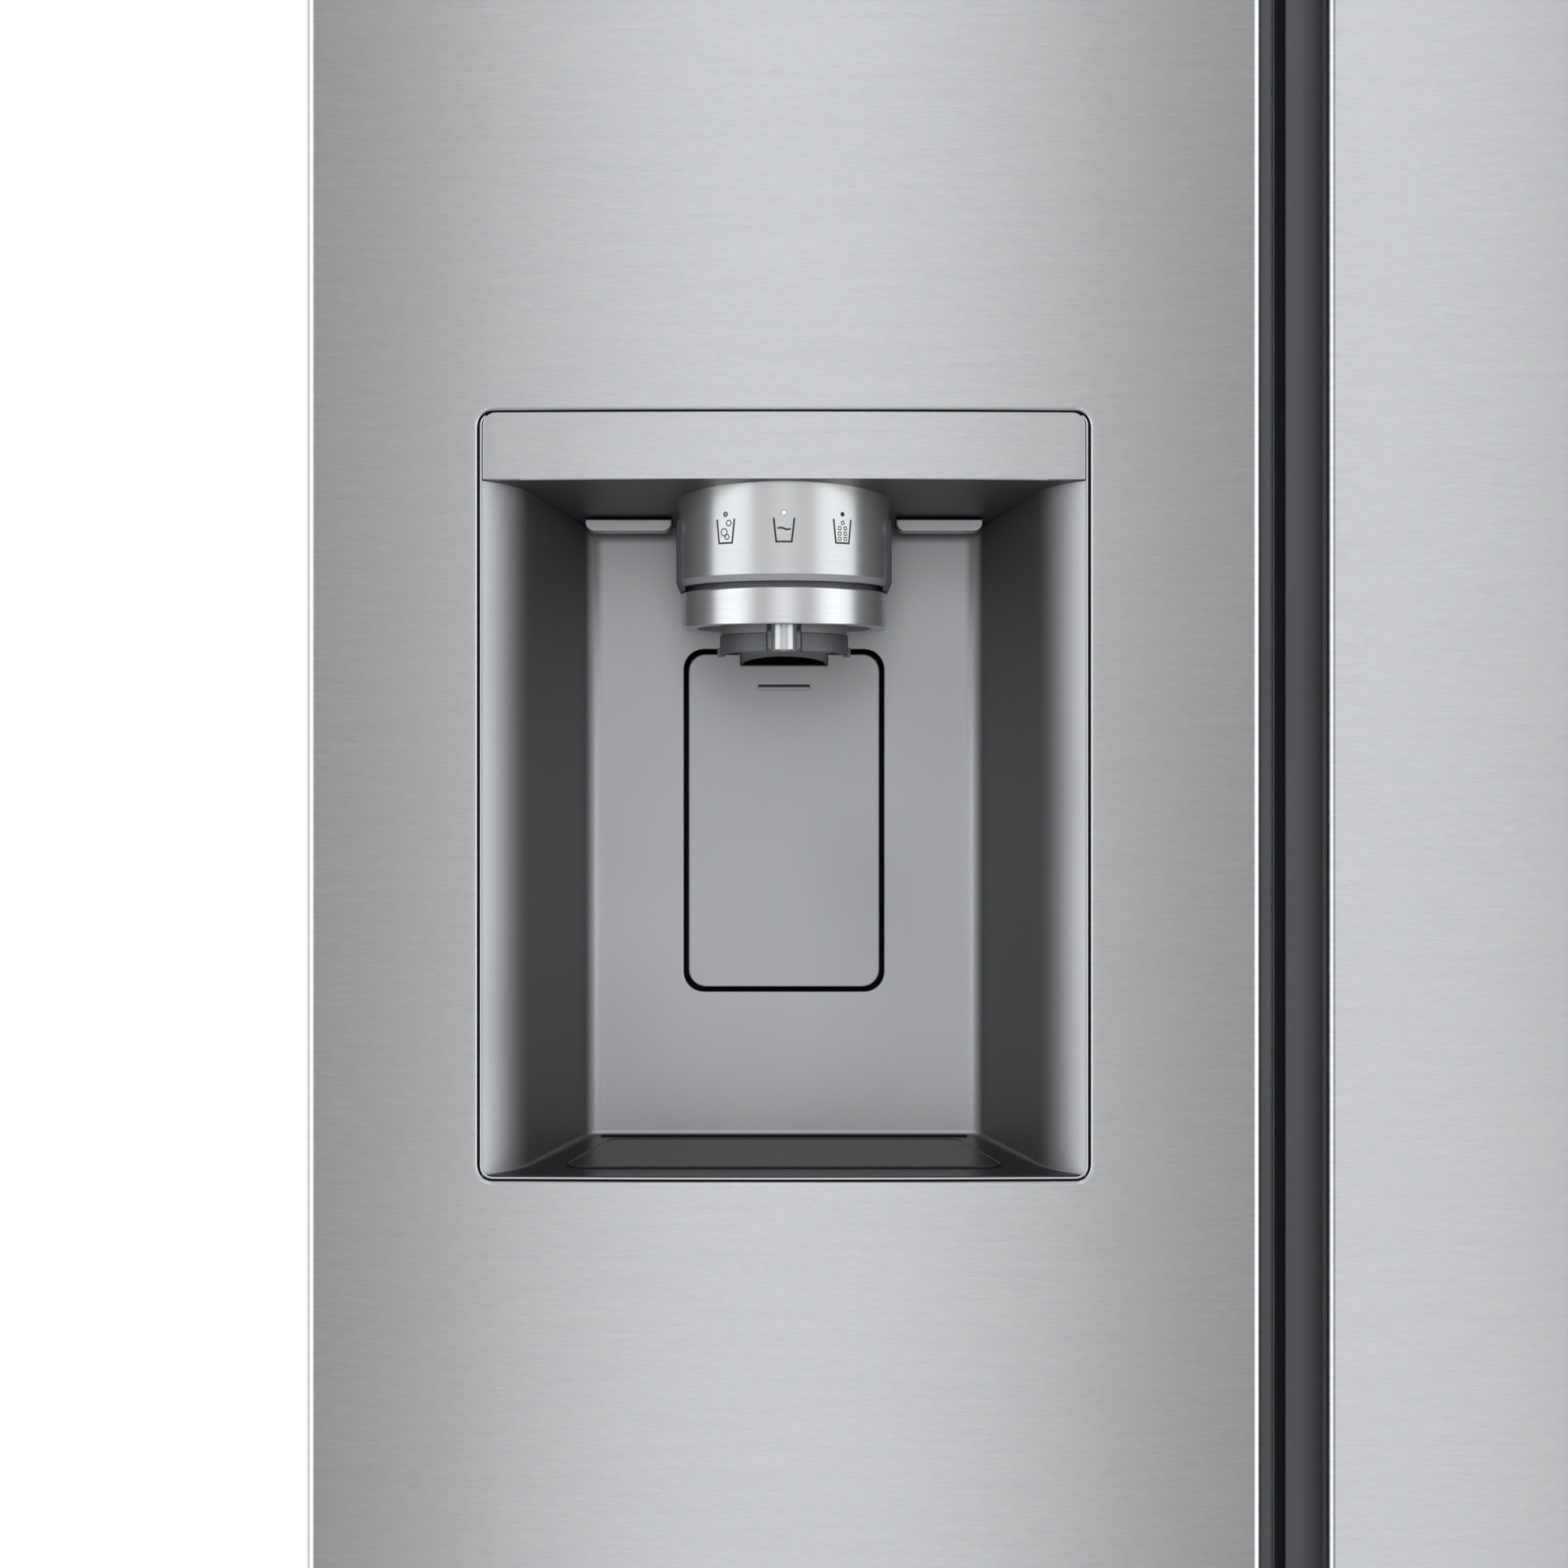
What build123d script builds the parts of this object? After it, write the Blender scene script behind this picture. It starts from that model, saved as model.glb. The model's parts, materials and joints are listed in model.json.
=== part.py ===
from build123d import *
import math
import os
from dataclasses import dataclass

# A side-by-side refrigerator: freezer on the left with an ice and water dispenser in its door,
# fresh food on the right. Millimetres, +X to the right of someone facing it, +Y towards the wall,
# +Z up, origin on the floor under the middle of the whole appliance.

# Overall size
WIDTH = 912.0
DEPTH = 850.0
HEIGHT = 1785.0
CASE_TOP = 1745.0
CASE_BOTTOM = 40.0
SHEET = 1.0
FIT = 0.2
SIDE = WIDTH / 2
FRONT = -DEPTH / 2
BACK = DEPTH / 2

# Doors: bowed steel fronts, finger grips along the two edges that meet
DOOR_THICKNESS = 95.0
DOOR_BOTTOM = 80.0
DOOR_TOP = 1742.0
DOOR_BOW_RADIUS = 2200.0
DOOR_EDGE_RADIUS = 4.0
CAP_THICKNESS = 16.0
LINER_WALL = 3.0
GASKET_THICKNESS = 12.0
GASKET_WIDTH = 16.0
GASKET_INSET = 24.0
FREEZER_FACE = 395.0
GRIP_CHANNEL = 28.0
DOOR_GAP = 6.0
GRIP_REACH = 24.5
GRIP_WALL = 2.5
GRIP_LIP_BACK = FRONT + 27.0
GRIP_BACK = FRONT + 61.0
DOOR_BACK = FRONT + DOOR_THICKNESS
LINER_FRONT = DOOR_BACK - LINER_WALL
CASE_FRONT = DOOR_BACK + GASKET_THICKNESS
MEETING_LINE = -SIDE + FREEZER_FACE + GRIP_CHANNEL / 2

# Hinges
HINGE_INSET = 22.0
HINGE_Y = DOOR_BACK - 38.0
PIN_RADIUS = 6.0
RUNNING = 0.05
HINGE_PLATE = 5.0
HINGE_FLANGE = 4.0

# Food compartments
WALL_THICKNESS = 52.0
MULLION = 52.0
COMPARTMENT_BACK = 345.0
COMPARTMENT_BOTTOM = 130.0
COMPARTMENT_TOP = 1690.0
STEP_Y = 160.0
STEP_Z = 290.0
LINER_SKIN = 2.0
FRAME_SHEET = 2.0
RAIL_WIDTH = 8.0
RAIL_HEIGHT = 6.0

# Dispenser, read off the photograph at a third of a millimetre to the pixel on the door front
BEZEL_HALF_WIDTH = 125.3
BEZEL_BOTTOM = 942.1
BEZEL_TOP = 1257.7
BEZEL_CORNER = 5.3
RIM = 1.0
CUTOUT_GAP = 0.6
RECESS_HALF_WIDTH = BEZEL_HALF_WIDTH - RIM
RECESS_DEPTH = 97.0
RECESS_WALL = 2.5
FLOOR_FRONT = 943.3
FLOOR_BACK = 952.4
CEILING_FRONT = 1229.0
CEILING_BACK = 1219.3
LIP_RADIUS = 39.0
LIP_START = 30.0
LIP_END = 74.4
CORNER_RADIUS = 12.0
FASCIA_THICKNESS = 14.0
NOZZLE_DEPTH = 50.0
NOZZLE_RADIUS = 45.0
CASING_MARGIN = 0.9
NOZZLE_WALL = 2.5
NOZZLE_BOTTOM = 1188.8
RING_RADIUS = 43.7
RING_TOP = 1186.3
RING_BOTTOM = 1171.0
RING_LIP = 1.5
FUNNEL_RADIUS = 27.3
FUNNEL_BOTTOM = 1159.0
SPOUT_RADIUS = 4.2
SPOUT_BOTTOM = 1160.6
TRAY_DEPTHS = (19.0, 85.0)
TRAY_HALF_WIDTHS = (93.6, 76.4)
TRAY_CORNER = 8.0
TRAY_HEIGHT = 1.2
PADDLE_WIDTH = 83.8
PADDLE_TOP = 1163.4
PADDLE_BOTTOM = 1017.2
PADDLE_GAP = 2.2
PADDLE_CORNER = 7.0
PADDLE_THICKNESS = 3.0
NOTCH_HALF_WIDTH = 19.1
NOTCH_BOTTOM = 1158.5
PADDLE_PIVOT_Z = 1157.0
PADDLE_PIVOT_RADIUS = 2.5
PADDLE_POCKET = 28.0
CHUTE_HALF = 25.0
CHUTE_WALL = 3.0
CHUTE_TOP_Z = 1370.0
COLLAR_Z = (RING_TOP + 21, RING_TOP + 25)
FLAP_RADIUS = 20.0
BULGE_HALF_WIDTH = 140.0
BULGE_BOTTOM = 915.0
BULGE_TOP = 1410.0
BULGE_BACK = -262.0
FOAM_CHANNEL_HALF = 40.0

# Machine compartment, low at the back
BASE_Z = 62.0
MACHINE_FRONT = 192.0
MACHINE_TOP = 258.0


def between(a, b):
    return (min(a, b), max(a, b))


def grown(span, margin):
    return (span[0] - margin, span[1] + margin)


def block(x, y, z):
    spans = (x, y, z)
    middle = [(low + high) / 2 for low, high in spans]
    return Pos(*middle) * Box(*[high - low for low, high in spans])


def rectangle(x, y):
    return Pos(sum(x) / 2, sum(y) / 2) * Rectangle(x[1] - x[0], y[1] - y[0])


def rounded_rectangle(x, y, radius):
    return Pos(sum(x) / 2, sum(y) / 2) * RectangleRounded(x[1] - x[0], y[1] - y[0], radius)


# A face drawn in plan, front or side view, given its height, depth or width
def prism_z(face, z):
    return extrude(Pos(0, 0, z[0]) * face, z[1] - z[0])


def prism_y(face, y):
    return extrude(Plane((0, y[1], 0), (1, 0, 0), (0, -1, 0)) * face, y[1] - y[0])


def prism_x(face, x):
    return extrude(Plane((x[0], 0, 0), (0, 1, 0), (1, 0, 0)) * face, x[1] - x[0])


def rod(axis, centre, radius, span):
    length = span[1] - span[0]
    middle = sum(span) / 2
    if axis == "x":
        return Pos(middle, *centre) * Rot(0, 90, 0) * Cylinder(radius, length)
    if axis == "y":
        return Pos(centre[0], middle, centre[1]) * Rot(90, 0, 0) * Cylinder(radius, length)
    return Pos(*centre, middle) * Cylinder(radius, length)


def tray(x, y, z, wall, corner):
    shell = fillet(block(x, y, z).edges().filter_by(Axis.Z), corner)
    room = block(grown(x, -wall), grown(y, -wall), (z[0] + wall, z[1] + 1))
    return shell - fillet(room.edges().filter_by(Axis.Z), corner - wall)


@dataclass
class Door:
    name: str
    hinge_edge: float
    grip_edge: float
    rear_edge: float
    bin_sides: tuple
    bins: tuple

    @property
    def way(self):
        return math.copysign(1, self.grip_edge - self.hinge_edge)

    @property
    def centre(self):
        return (self.hinge_edge + self.grip_edge) / 2

    @property
    def hinge_x(self):
        return self.hinge_edge + self.way * HINGE_INSET

    @property
    def grip_root(self):
        return self.grip_edge - self.way * (GRIP_REACH + GRIP_WALL)


# Door bins are (floor height, wall height, back of the bin)
FREEZER = Door(
    "freezer",
    -SIDE,
    -SIDE + FREEZER_FACE,
    MEETING_LINE - DOOR_GAP / 2,
    (-376.0, -116.0),
    ((140.0, 90.0, -235.0), (400.0, 90.0, -235.0), (660.0, 90.0, -235.0), (1430.0, 90.0, -235.0)),
)
FRIDGE = Door(
    "fridge",
    SIDE,
    MEETING_LINE + GRIP_CHANNEL / 2,
    MEETING_LINE + DOOR_GAP / 2,
    (22.0, 378.0),
    ((140.0, 100.0, -235.0), (500.0, 100.0, -225.0), (860.0, 100.0, -225.0), (1240.0, 100.0, -225.0)),
)
NOZZLE_X = FREEZER.centre
NOZZLE_Y = FRONT + NOZZLE_DEPTH
RECESS_BACK = FRONT + RECESS_DEPTH


@dataclass
class Compartment:
    x: tuple
    shelves: tuple
    shelf_back: float


# Shelf heights are the tops of their rails
FREEZER_ROOM = Compartment(
    (-SIDE + WALL_THICKNESS, MEETING_LINE - MULLION / 2), (480.0, 690.0, 900.0, 1110.0, 1312.0), 290.0
)
FRIDGE_ROOM = Compartment(
    (MEETING_LINE + MULLION / 2, SIDE - WALL_THICKNESS), (480.0, 720.0, 960.0, 1200.0, 1440.0), 318.0
)
ROOMS = (FREEZER_ROOM, FRIDGE_ROOM)
SHELF_FRONT = -205.0
SHELF_THICKNESS = 5.0
LOWER_DRAWER = (COMPARTMENT_BOTTOM + 0.5, 282.0)
UPPER_DRAWER = (300.0, 455.0)
DRAWER_FRONT = -190.0
DRAWER_WALL = 3.0
DRAWER_CLEARANCE = 17.0
SLIDE_GAP = 0.5


# Door shells


def door_plan(door, inset, back):
    sides = grown(between(door.hinge_edge, door.grip_edge), -inset)
    bow = Pos(door.centre, FRONT + DOOR_BOW_RADIUS) * Circle(DOOR_BOW_RADIUS - inset)
    plan = rectangle(sides, (FRONT - 1, back)) & bow
    front_corners = plan.vertices().sort_by(Axis.Y)[:2]
    return fillet(front_corners, DOOR_EDGE_RADIUS - inset)


def door_skin(door):
    sheet = door_plan(door, 0, LINER_FRONT) - door_plan(door, SHEET, LINER_FRONT + 1)
    behind_lip = rectangle(
        between(door.grip_edge - door.way * DOOR_EDGE_RADIUS / 2, door.grip_edge + door.way),
        (GRIP_LIP_BACK, LINER_FRONT + 1),
    )
    return prism_z(sheet - behind_lip, (DOOR_BOTTOM, DOOR_TOP))


def core_plan(door):
    core = between(door.hinge_edge, door.grip_root)
    return door_plan(door, SHEET + FIT, LINER_FRONT) & rectangle(core, (FRONT, LINER_FRONT))


def grip_strip(door):
    end = door.rear_edge - door.way * GRIP_WALL
    return between(door.grip_root, end), (GRIP_BACK, LINER_FRONT)


def door_caps(door):
    plan = core_plan(door) + rectangle(*grip_strip(door))
    bore = rod("z", (door.hinge_x, HINGE_Y), PIN_RADIUS + RUNNING, (0, HEIGHT))
    bottom = prism_z(plan, (DOOR_BOTTOM, DOOR_BOTTOM + CAP_THICKNESS))
    top = prism_z(plan, (DOOR_TOP - CAP_THICKNESS, DOOR_TOP))
    return Compound([bottom - bore, top - bore])


def door_handle(door):
    lip = door_plan(door, SHEET + FIT, GRIP_BACK) & rectangle(
        between(door.grip_root, door.grip_edge), (FRONT, GRIP_BACK)
    )
    rear_wall = rectangle(between(door.grip_root, door.rear_edge), (GRIP_BACK - GRIP_WALL, GRIP_BACK))
    end_wall = rectangle(
        between(door.rear_edge - door.way * GRIP_WALL, door.rear_edge), (GRIP_BACK - GRIP_WALL, LINER_FRONT)
    )
    fingers = rounded_rectangle(
        between(door.grip_edge - door.way * GRIP_REACH, door.rear_edge + door.way * 60),
        (GRIP_LIP_BACK, GRIP_BACK - GRIP_WALL),
        10,
    )
    return prism_z((lip - fingers) + rear_wall + end_wall, (DOOR_BOTTOM, DOOR_TOP))


def door_gasket(door):
    x = between(door.hinge_edge + door.way * GASKET_INSET, door.rear_edge - door.way * 4)
    z = grown((DOOR_BOTTOM, DOOR_TOP), -GASKET_INSET)
    ring = rounded_rectangle(x, z, 6) - rounded_rectangle(grown(x, -GASKET_WIDTH), grown(z, -GASKET_WIDTH), 4)
    seal = prism_y(ring, (DOOR_BACK, CASE_FRONT - FIT))
    fold = rounded_rectangle(grown(x, -5), grown(z, -5), 5) - rounded_rectangle(
        grown(x, 5 - GASKET_WIDTH), grown(z, 5 - GASKET_WIDTH), 4
    )
    return seal - prism_y(fold, (DOOR_BACK - 1, DOOR_BACK + 5))


def bin_dams(door, runs, back):
    dams = []
    for edge, out in zip(door.bin_sides, (-1, 1)):
        for run in runs:
            dams.append(block(between(edge, edge + out * 12), (DOOR_BACK, back), run))
    return dams


def door_bins(door):
    trays = []
    for floor, height, back in door.bins:
        trays.append(tray(door.bin_sides, (DOOR_BACK, back), (floor, floor + height), 2.5, 14))
    return Compound(trays)


def liner_plate(door):
    return block(
        between(door.hinge_edge, door.rear_edge), (LINER_FRONT, DOOR_BACK), (DOOR_BOTTOM, DOOR_TOP)
    )


# Freezer door, with the dispenser let into it


def freezer_door_skin():
    hole = rounded_rectangle(
        grown((NOZZLE_X, NOZZLE_X), BEZEL_HALF_WIDTH + CUTOUT_GAP),
        grown((BEZEL_BOTTOM, BEZEL_TOP), CUTOUT_GAP),
        BEZEL_CORNER + CUTOUT_GAP,
    )
    return door_skin(FREEZER) - prism_y(hole, (FRONT - 1, GRIP_LIP_BACK))


def freezer_door_foam():
    zone_x = grown((NOZZLE_X, NOZZLE_X), BEZEL_HALF_WIDTH + 1.9)
    chute_x = grown((NOZZLE_X, NOZZLE_X), FOAM_CHANNEL_HALF)
    zone_z = (BEZEL_BOTTOM - 5, BEZEL_TOP + 4)
    low, high = DOOR_BOTTOM + CAP_THICKNESS, DOOR_TOP - CAP_THICKNESS
    full_x = between(FREEZER.hinge_edge, FREEZER.grip_root)
    fields = [
        (full_x, (low, zone_z[0])),
        ((full_x[0], zone_x[0]), zone_z),
        ((zone_x[1], full_x[1]), zone_z),
        ((full_x[0], chute_x[0]), (zone_z[1], BULGE_TOP)),
        ((chute_x[1], full_x[1]), (zone_z[1], BULGE_TOP)),
        (full_x, (BULGE_TOP, high)),
    ]
    plan = core_plan(FREEZER)
    slabs = [prism_z(plan & rectangle(x, (FRONT, LINER_FRONT)), z) for x, z in fields]
    slabs.append(block(*grip_strip(FREEZER), (low, high)))
    return Compound(slabs + bulge_foam(zone_z, chute_x))


def bulge_foam(zone_z, chute_x):
    x = grown((NOZZLE_X, NOZZLE_X), BULGE_HALF_WIDTH - LINER_WALL)
    y = (RECESS_BACK + RECESS_WALL, BULGE_BACK - LINER_WALL)
    z = (BULGE_BOTTOM + LINER_WALL, BULGE_TOP - LINER_WALL)
    pocket_x = grown((NOZZLE_X, NOZZLE_X), PADDLE_WIDTH / 2 + 8)
    pocket_z = (PADDLE_BOTTOM - 12, PADDLE_TOP + 12)
    pocket_back = RECESS_BACK + PADDLE_POCKET + RECESS_WALL + 1
    return [
        block(x, y, (z[0], pocket_z[0])),
        block((x[0], pocket_x[0]), y, pocket_z),
        block((pocket_x[1], x[1]), y, pocket_z),
        block(pocket_x, (pocket_back, y[1]), pocket_z),
        block(x, y, (pocket_z[1], zone_z[1] - 40)),
        block((x[0], chute_x[0]), y, (zone_z[1] - 40, z[1])),
        block((chute_x[1], x[1]), y, (zone_z[1] - 40, z[1])),
    ]


def freezer_door_liner():
    x = grown((NOZZLE_X, NOZZLE_X), BULGE_HALF_WIDTH)
    z = (BULGE_BOTTOM, BULGE_TOP)
    bulge = fillet(block(x, (LINER_FRONT, BULGE_BACK), z).edges().group_by(Axis.Y)[-1], 8)
    room = block(grown(x, -LINER_WALL), (LINER_FRONT - 1, BULGE_BACK - LINER_WALL), grown(z, -LINER_WALL))
    runs = ((COMPARTMENT_BOTTOM + 6, 890.0), (BULGE_TOP + 8, COMPARTMENT_TOP - 8))
    dams = bin_dams(FREEZER, runs, -240.0)
    return liner_plate(FREEZER) + bulge + dams - room - chute_core(CHUTE_HALF + CHUTE_WALL + 0.3)


# Plan of the recess: a rounded lip each side that rolls in to a straight wall and a flat back
def recess_plan(grow):
    half = RECESS_HALF_WIDTH
    start = FRONT + half**2 / (2 * DOOR_BOW_RADIUS)
    first, last = math.radians(LIP_START), math.radians(LIP_END)

    def lip(angle):
        x = half - LIP_RADIUS * (math.sin(angle) - math.sin(first))
        y = start + LIP_RADIUS * (math.cos(first) - math.cos(angle))
        return x, y

    end_x, end_y = lip(last)
    back_x = end_x - (RECESS_BACK - end_y) / math.tan(last)
    right = [
        Line((half, FRONT - 5), (half, start)),
        ThreePointArc(lip(first), lip((first + last) / 2), lip(last)),
        Line((end_x, end_y), (back_x, RECESS_BACK)),
    ]
    left = [mirror(edge, Plane.YZ) for edge in right]
    back = Line((back_x, RECESS_BACK), (-back_x, RECESS_BACK))
    front = Line((half, FRONT - 5), (-half, FRONT - 5))
    plan = make_face(Curve() + right + left + [back, front])
    plan = fillet(plan.vertices().sort_by(Axis.Y)[-2:], CORNER_RADIUS)
    return Pos(NOZZLE_X, 0) * (offset(plan, grow) if grow else plan)


def sloped(front_z, back_z, y):
    return front_z + (back_z - front_z) * (y - FRONT) / (RECESS_BACK - FRONT)


def recess_profile(grow):
    near, far = FRONT - 6, RECESS_BACK + 20
    return make_face(
        Polyline(
            (near, sloped(FLOOR_FRONT, FLOOR_BACK, near) - grow),
            (far, sloped(FLOOR_FRONT, FLOOR_BACK, far) - grow),
            (far, sloped(CEILING_FRONT, CEILING_BACK, far) + grow),
            (near, sloped(CEILING_FRONT, CEILING_BACK, near) + grow),
            close=True,
        )
    )


def recess_room(grow):
    upright = prism_z(recess_plan(grow), (BEZEL_BOTTOM - 30, BEZEL_TOP + 30))
    return upright & prism_x(recess_profile(grow), grown((NOZZLE_X, NOZZLE_X), BEZEL_HALF_WIDTH))


def above_ceiling(gap):
    near, far = FRONT - 6, RECESS_BACK + 40
    wedge = make_face(
        Polyline(
            (near, sloped(CEILING_FRONT, CEILING_BACK, near) - gap),
            (far, sloped(CEILING_FRONT, CEILING_BACK, far) - gap),
            (far, BEZEL_TOP + 60),
            (near, BEZEL_TOP + 60),
            close=True,
        )
    )
    return prism_x(wedge, grown((NOZZLE_X, NOZZLE_X), BEZEL_HALF_WIDTH + 10))


def behind_door_front(inset):
    return prism_z(door_plan(FREEZER, inset, BULGE_BACK), (BEZEL_BOTTOM - 40, BULGE_TOP))


def paddle_window(margin):
    x = grown((NOZZLE_X, NOZZLE_X), PADDLE_WIDTH / 2 + margin)
    return rounded_rectangle(x, grown((PADDLE_BOTTOM, PADDLE_TOP), margin), PADDLE_CORNER + margin)


def dispenser_housing():
    outer_x = grown((NOZZLE_X, NOZZLE_X), BEZEL_HALF_WIDTH)
    room = recess_room(0)
    floor_edges = room.edges().filter_by(lambda edge: edge.center().Z < FLOOR_BACK + 2)
    floor_edges = floor_edges.filter_by(lambda edge: edge.center().Y > FRONT + 20)
    room = fillet(floor_edges, 4)
    outline = rounded_rectangle(outer_x, (BEZEL_BOTTOM, BEZEL_TOP), BEZEL_CORNER)
    opening = rounded_rectangle(grown(outer_x, -RIM), (BEZEL_BOTTOM + RIM, BEZEL_TOP + 20), BEZEL_CORNER - RIM)
    shell = recess_room(RECESS_WALL) & prism_y(outline, (FRONT - 1, BULGE_BACK))
    rim = prism_y(outline - opening, (FRONT - 1, FRONT + FASCIA_THICKNESS + 3))
    backing = block(
        outer_x,
        (FRONT + FASCIA_THICKNESS, FRONT + FASCIA_THICKNESS + 3),
        (CEILING_FRONT, BEZEL_TOP - 2),
    )
    nozzle_casing = block(
        grown((NOZZLE_X, NOZZLE_X), NOZZLE_RADIUS + CASING_MARGIN),
        (NOZZLE_Y + 3.2, RECESS_BACK + 1),
        (NOZZLE_BOTTOM - 2, BEZEL_TOP),
    )
    nozzle_casing = nozzle_casing - above_ceiling(0)
    nozzle_bore = rod("z", (NOZZLE_X, NOZZLE_Y), NOZZLE_RADIUS - NOZZLE_WALL - 0.2, (FUNNEL_BOTTOM, BEZEL_TOP))
    fascia_room = block(
        grown(outer_x, -RIM),
        (FRONT - 1, FRONT + FASCIA_THICKNESS),
        (CEILING_FRONT - 0.2, BEZEL_TOP + 1),
    )
    body = shell + rim + backing - room - fascia_room + nozzle_casing
    body = body & behind_door_front(0)
    body = body - (nozzle_bore & block(outer_x, (FRONT, RECESS_BACK), (FUNNEL_BOTTOM, CEILING_BACK - 1)))
    body = body - chute_core(CHUTE_HALF + CHUTE_WALL + 0.3)
    body = body - prism_y(paddle_window(PADDLE_GAP), (RECESS_BACK - 1, RECESS_BACK + 10))
    return body + paddle_pocket()


# Box behind the recess that the paddle swings into, with a bearing for each of its trunnions
def paddle_pocket():
    x = grown((NOZZLE_X, NOZZLE_X), PADDLE_WIDTH / 2 + 5)
    z = grown((PADDLE_BOTTOM, PADDLE_TOP), 8)
    y = (RECESS_BACK + RECESS_WALL, RECESS_BACK + PADDLE_POCKET)
    walls = block(grown(x, 2), (y[0], y[1] + 2), grown(z, 2)) - block(x, (y[0] - 1, y[1]), z)
    pivot = (paddle_pivot_y(), PADDLE_PIVOT_Z)
    bearings = []
    for side in (-1, 1):
        inner = NOZZLE_X + side * (PADDLE_WIDTH / 2 + 1)
        outer = NOZZLE_X + side * (PADDLE_WIDTH / 2 + 6)
        bearings.append(block(between(inner, outer), (y[0], y[0] + 14), grown((pivot[1], pivot[1]), 8)))
    bore = rod("x", pivot, PADDLE_PIVOT_RADIUS + RUNNING, grown((NOZZLE_X, NOZZLE_X), PADDLE_WIDTH / 2 + 4.5))
    return walls + bearings - bore


def paddle_pivot_y():
    return RECESS_BACK + 10.0


def dispenser_fascia():
    x = grown((NOZZLE_X, NOZZLE_X), RECESS_HALF_WIDTH - FIT)
    z = (CEILING_FRONT, BEZEL_TOP - FIT)
    face = rounded_rectangle(x, (z[0] - 20, z[1]), BEZEL_CORNER - RIM) & rectangle(x, z)
    return prism_y(face, (FRONT - 1, FRONT + FASCIA_THICKNESS)) & behind_door_front(0)


# Square duct for the ice, sloping down from the liner's bulge to the nozzle
def chute_core(half):
    start = Vector(NOZZLE_X, NOZZLE_Y, COLLAR_Z[0])
    end = Vector(NOZZLE_X, BULGE_BACK, CHUTE_TOP_Z)
    way = (end - start).normalized()
    length = (end - start).length + 120
    plane = Plane(start - way * 60, x_dir=(1, 0, 0), z_dir=way)
    bar = plane * Pos(0, 0, length / 2) * Box(2 * half, 2 * half, length)
    return bar & block(
        grown((NOZZLE_X, NOZZLE_X), half + 1), (FRONT, BULGE_BACK + 1), (start.Z + 3, BULGE_TOP)
    )


def flap_axis():
    return NOZZLE_Y + FLAP_RADIUS + 1, RING_TOP + 18.0


def ice_chute():
    tube = chute_core(CHUTE_HALF + CHUTE_WALL) - chute_core(CHUTE_HALF)
    tube = tube & block(
        grown((NOZZLE_X, NOZZLE_X), 60), (FRONT, BULGE_BACK - FIT), (COLLAR_Z[0], BULGE_TOP)
    )
    centre = (NOZZLE_X, NOZZLE_Y)
    cover_z = (NOZZLE_BOTTOM, CEILING_FRONT)
    cover_room = rod("z", centre, NOZZLE_RADIUS + FIT, cover_z)
    cover_room = cover_room - rod("z", centre, NOZZLE_RADIUS - NOZZLE_WALL - FIT, cover_z)
    collar = rod("z", centre, NOZZLE_RADIUS - NOZZLE_WALL - 4, COLLAR_Z)
    collar = collar - rod("z", centre, FLAP_RADIUS - 2, COLLAR_Z)
    axis = flap_axis()
    lugs = []
    for side in (-1, 1):
        x = between(NOZZLE_X + side * (FLAP_RADIUS + 1), NOZZLE_X + side * (FLAP_RADIUS + 4))
        lugs.append(block(x, grown((axis[0], axis[0]), 4), (axis[1] - 4, COLLAR_Z[0])))
    bore = rod("x", axis, 2 + RUNNING, grown((NOZZLE_X, NOZZLE_X), FLAP_RADIUS + 5))
    collar = collar - chute_core(CHUTE_HALF) + lugs - bore
    return collar + (tube - chute_core(CHUTE_HALF) - cover_room)


def ice_flap():
    y, z = flap_axis()
    thickness = (z - 1.2, z + 1.2)
    disc = rod("z", (NOZZLE_X, NOZZLE_Y), FLAP_RADIUS, thickness)
    pin = rod("x", (y, z), 2, grown((NOZZLE_X, NOZZLE_X), FLAP_RADIUS + 3.5))
    arm = block(grown((NOZZLE_X, NOZZLE_X), FLAP_RADIUS / 2), (NOZZLE_Y + FLAP_RADIUS - 8, y), thickness)
    return disc + arm + pin


def nozzle_housing():
    centre = (NOZZLE_X, NOZZLE_Y)
    z = (NOZZLE_BOTTOM, CEILING_FRONT)
    tube = rod("z", centre, NOZZLE_RADIUS, z)
    tube = chamfer(tube.edges().group_by(Axis.Z)[0], 2.3, 1.2)
    tube = tube - rod("z", centre, NOZZLE_RADIUS - NOZZLE_WALL, z)
    front_half = block(grown((NOZZLE_X, NOZZLE_X), 60), (FRONT, NOZZLE_Y + 3), grown(z, 5))
    return (tube & front_half) - above_ceiling(0)


def nozzle_ring():
    centre = (NOZZLE_X, NOZZLE_Y)
    ring = rod("z", centre, RING_RADIUS, (RING_BOTTOM, RING_TOP))
    ring = fillet(ring.edges(), 1.0)
    bore = rod("z", centre, RING_RADIUS - 3.5, (RING_BOTTOM + RING_LIP, RING_TOP + 1))
    return ring - bore - rod("z", centre, RING_RADIUS - 6.7, grown((RING_BOTTOM, RING_TOP), 1))


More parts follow.
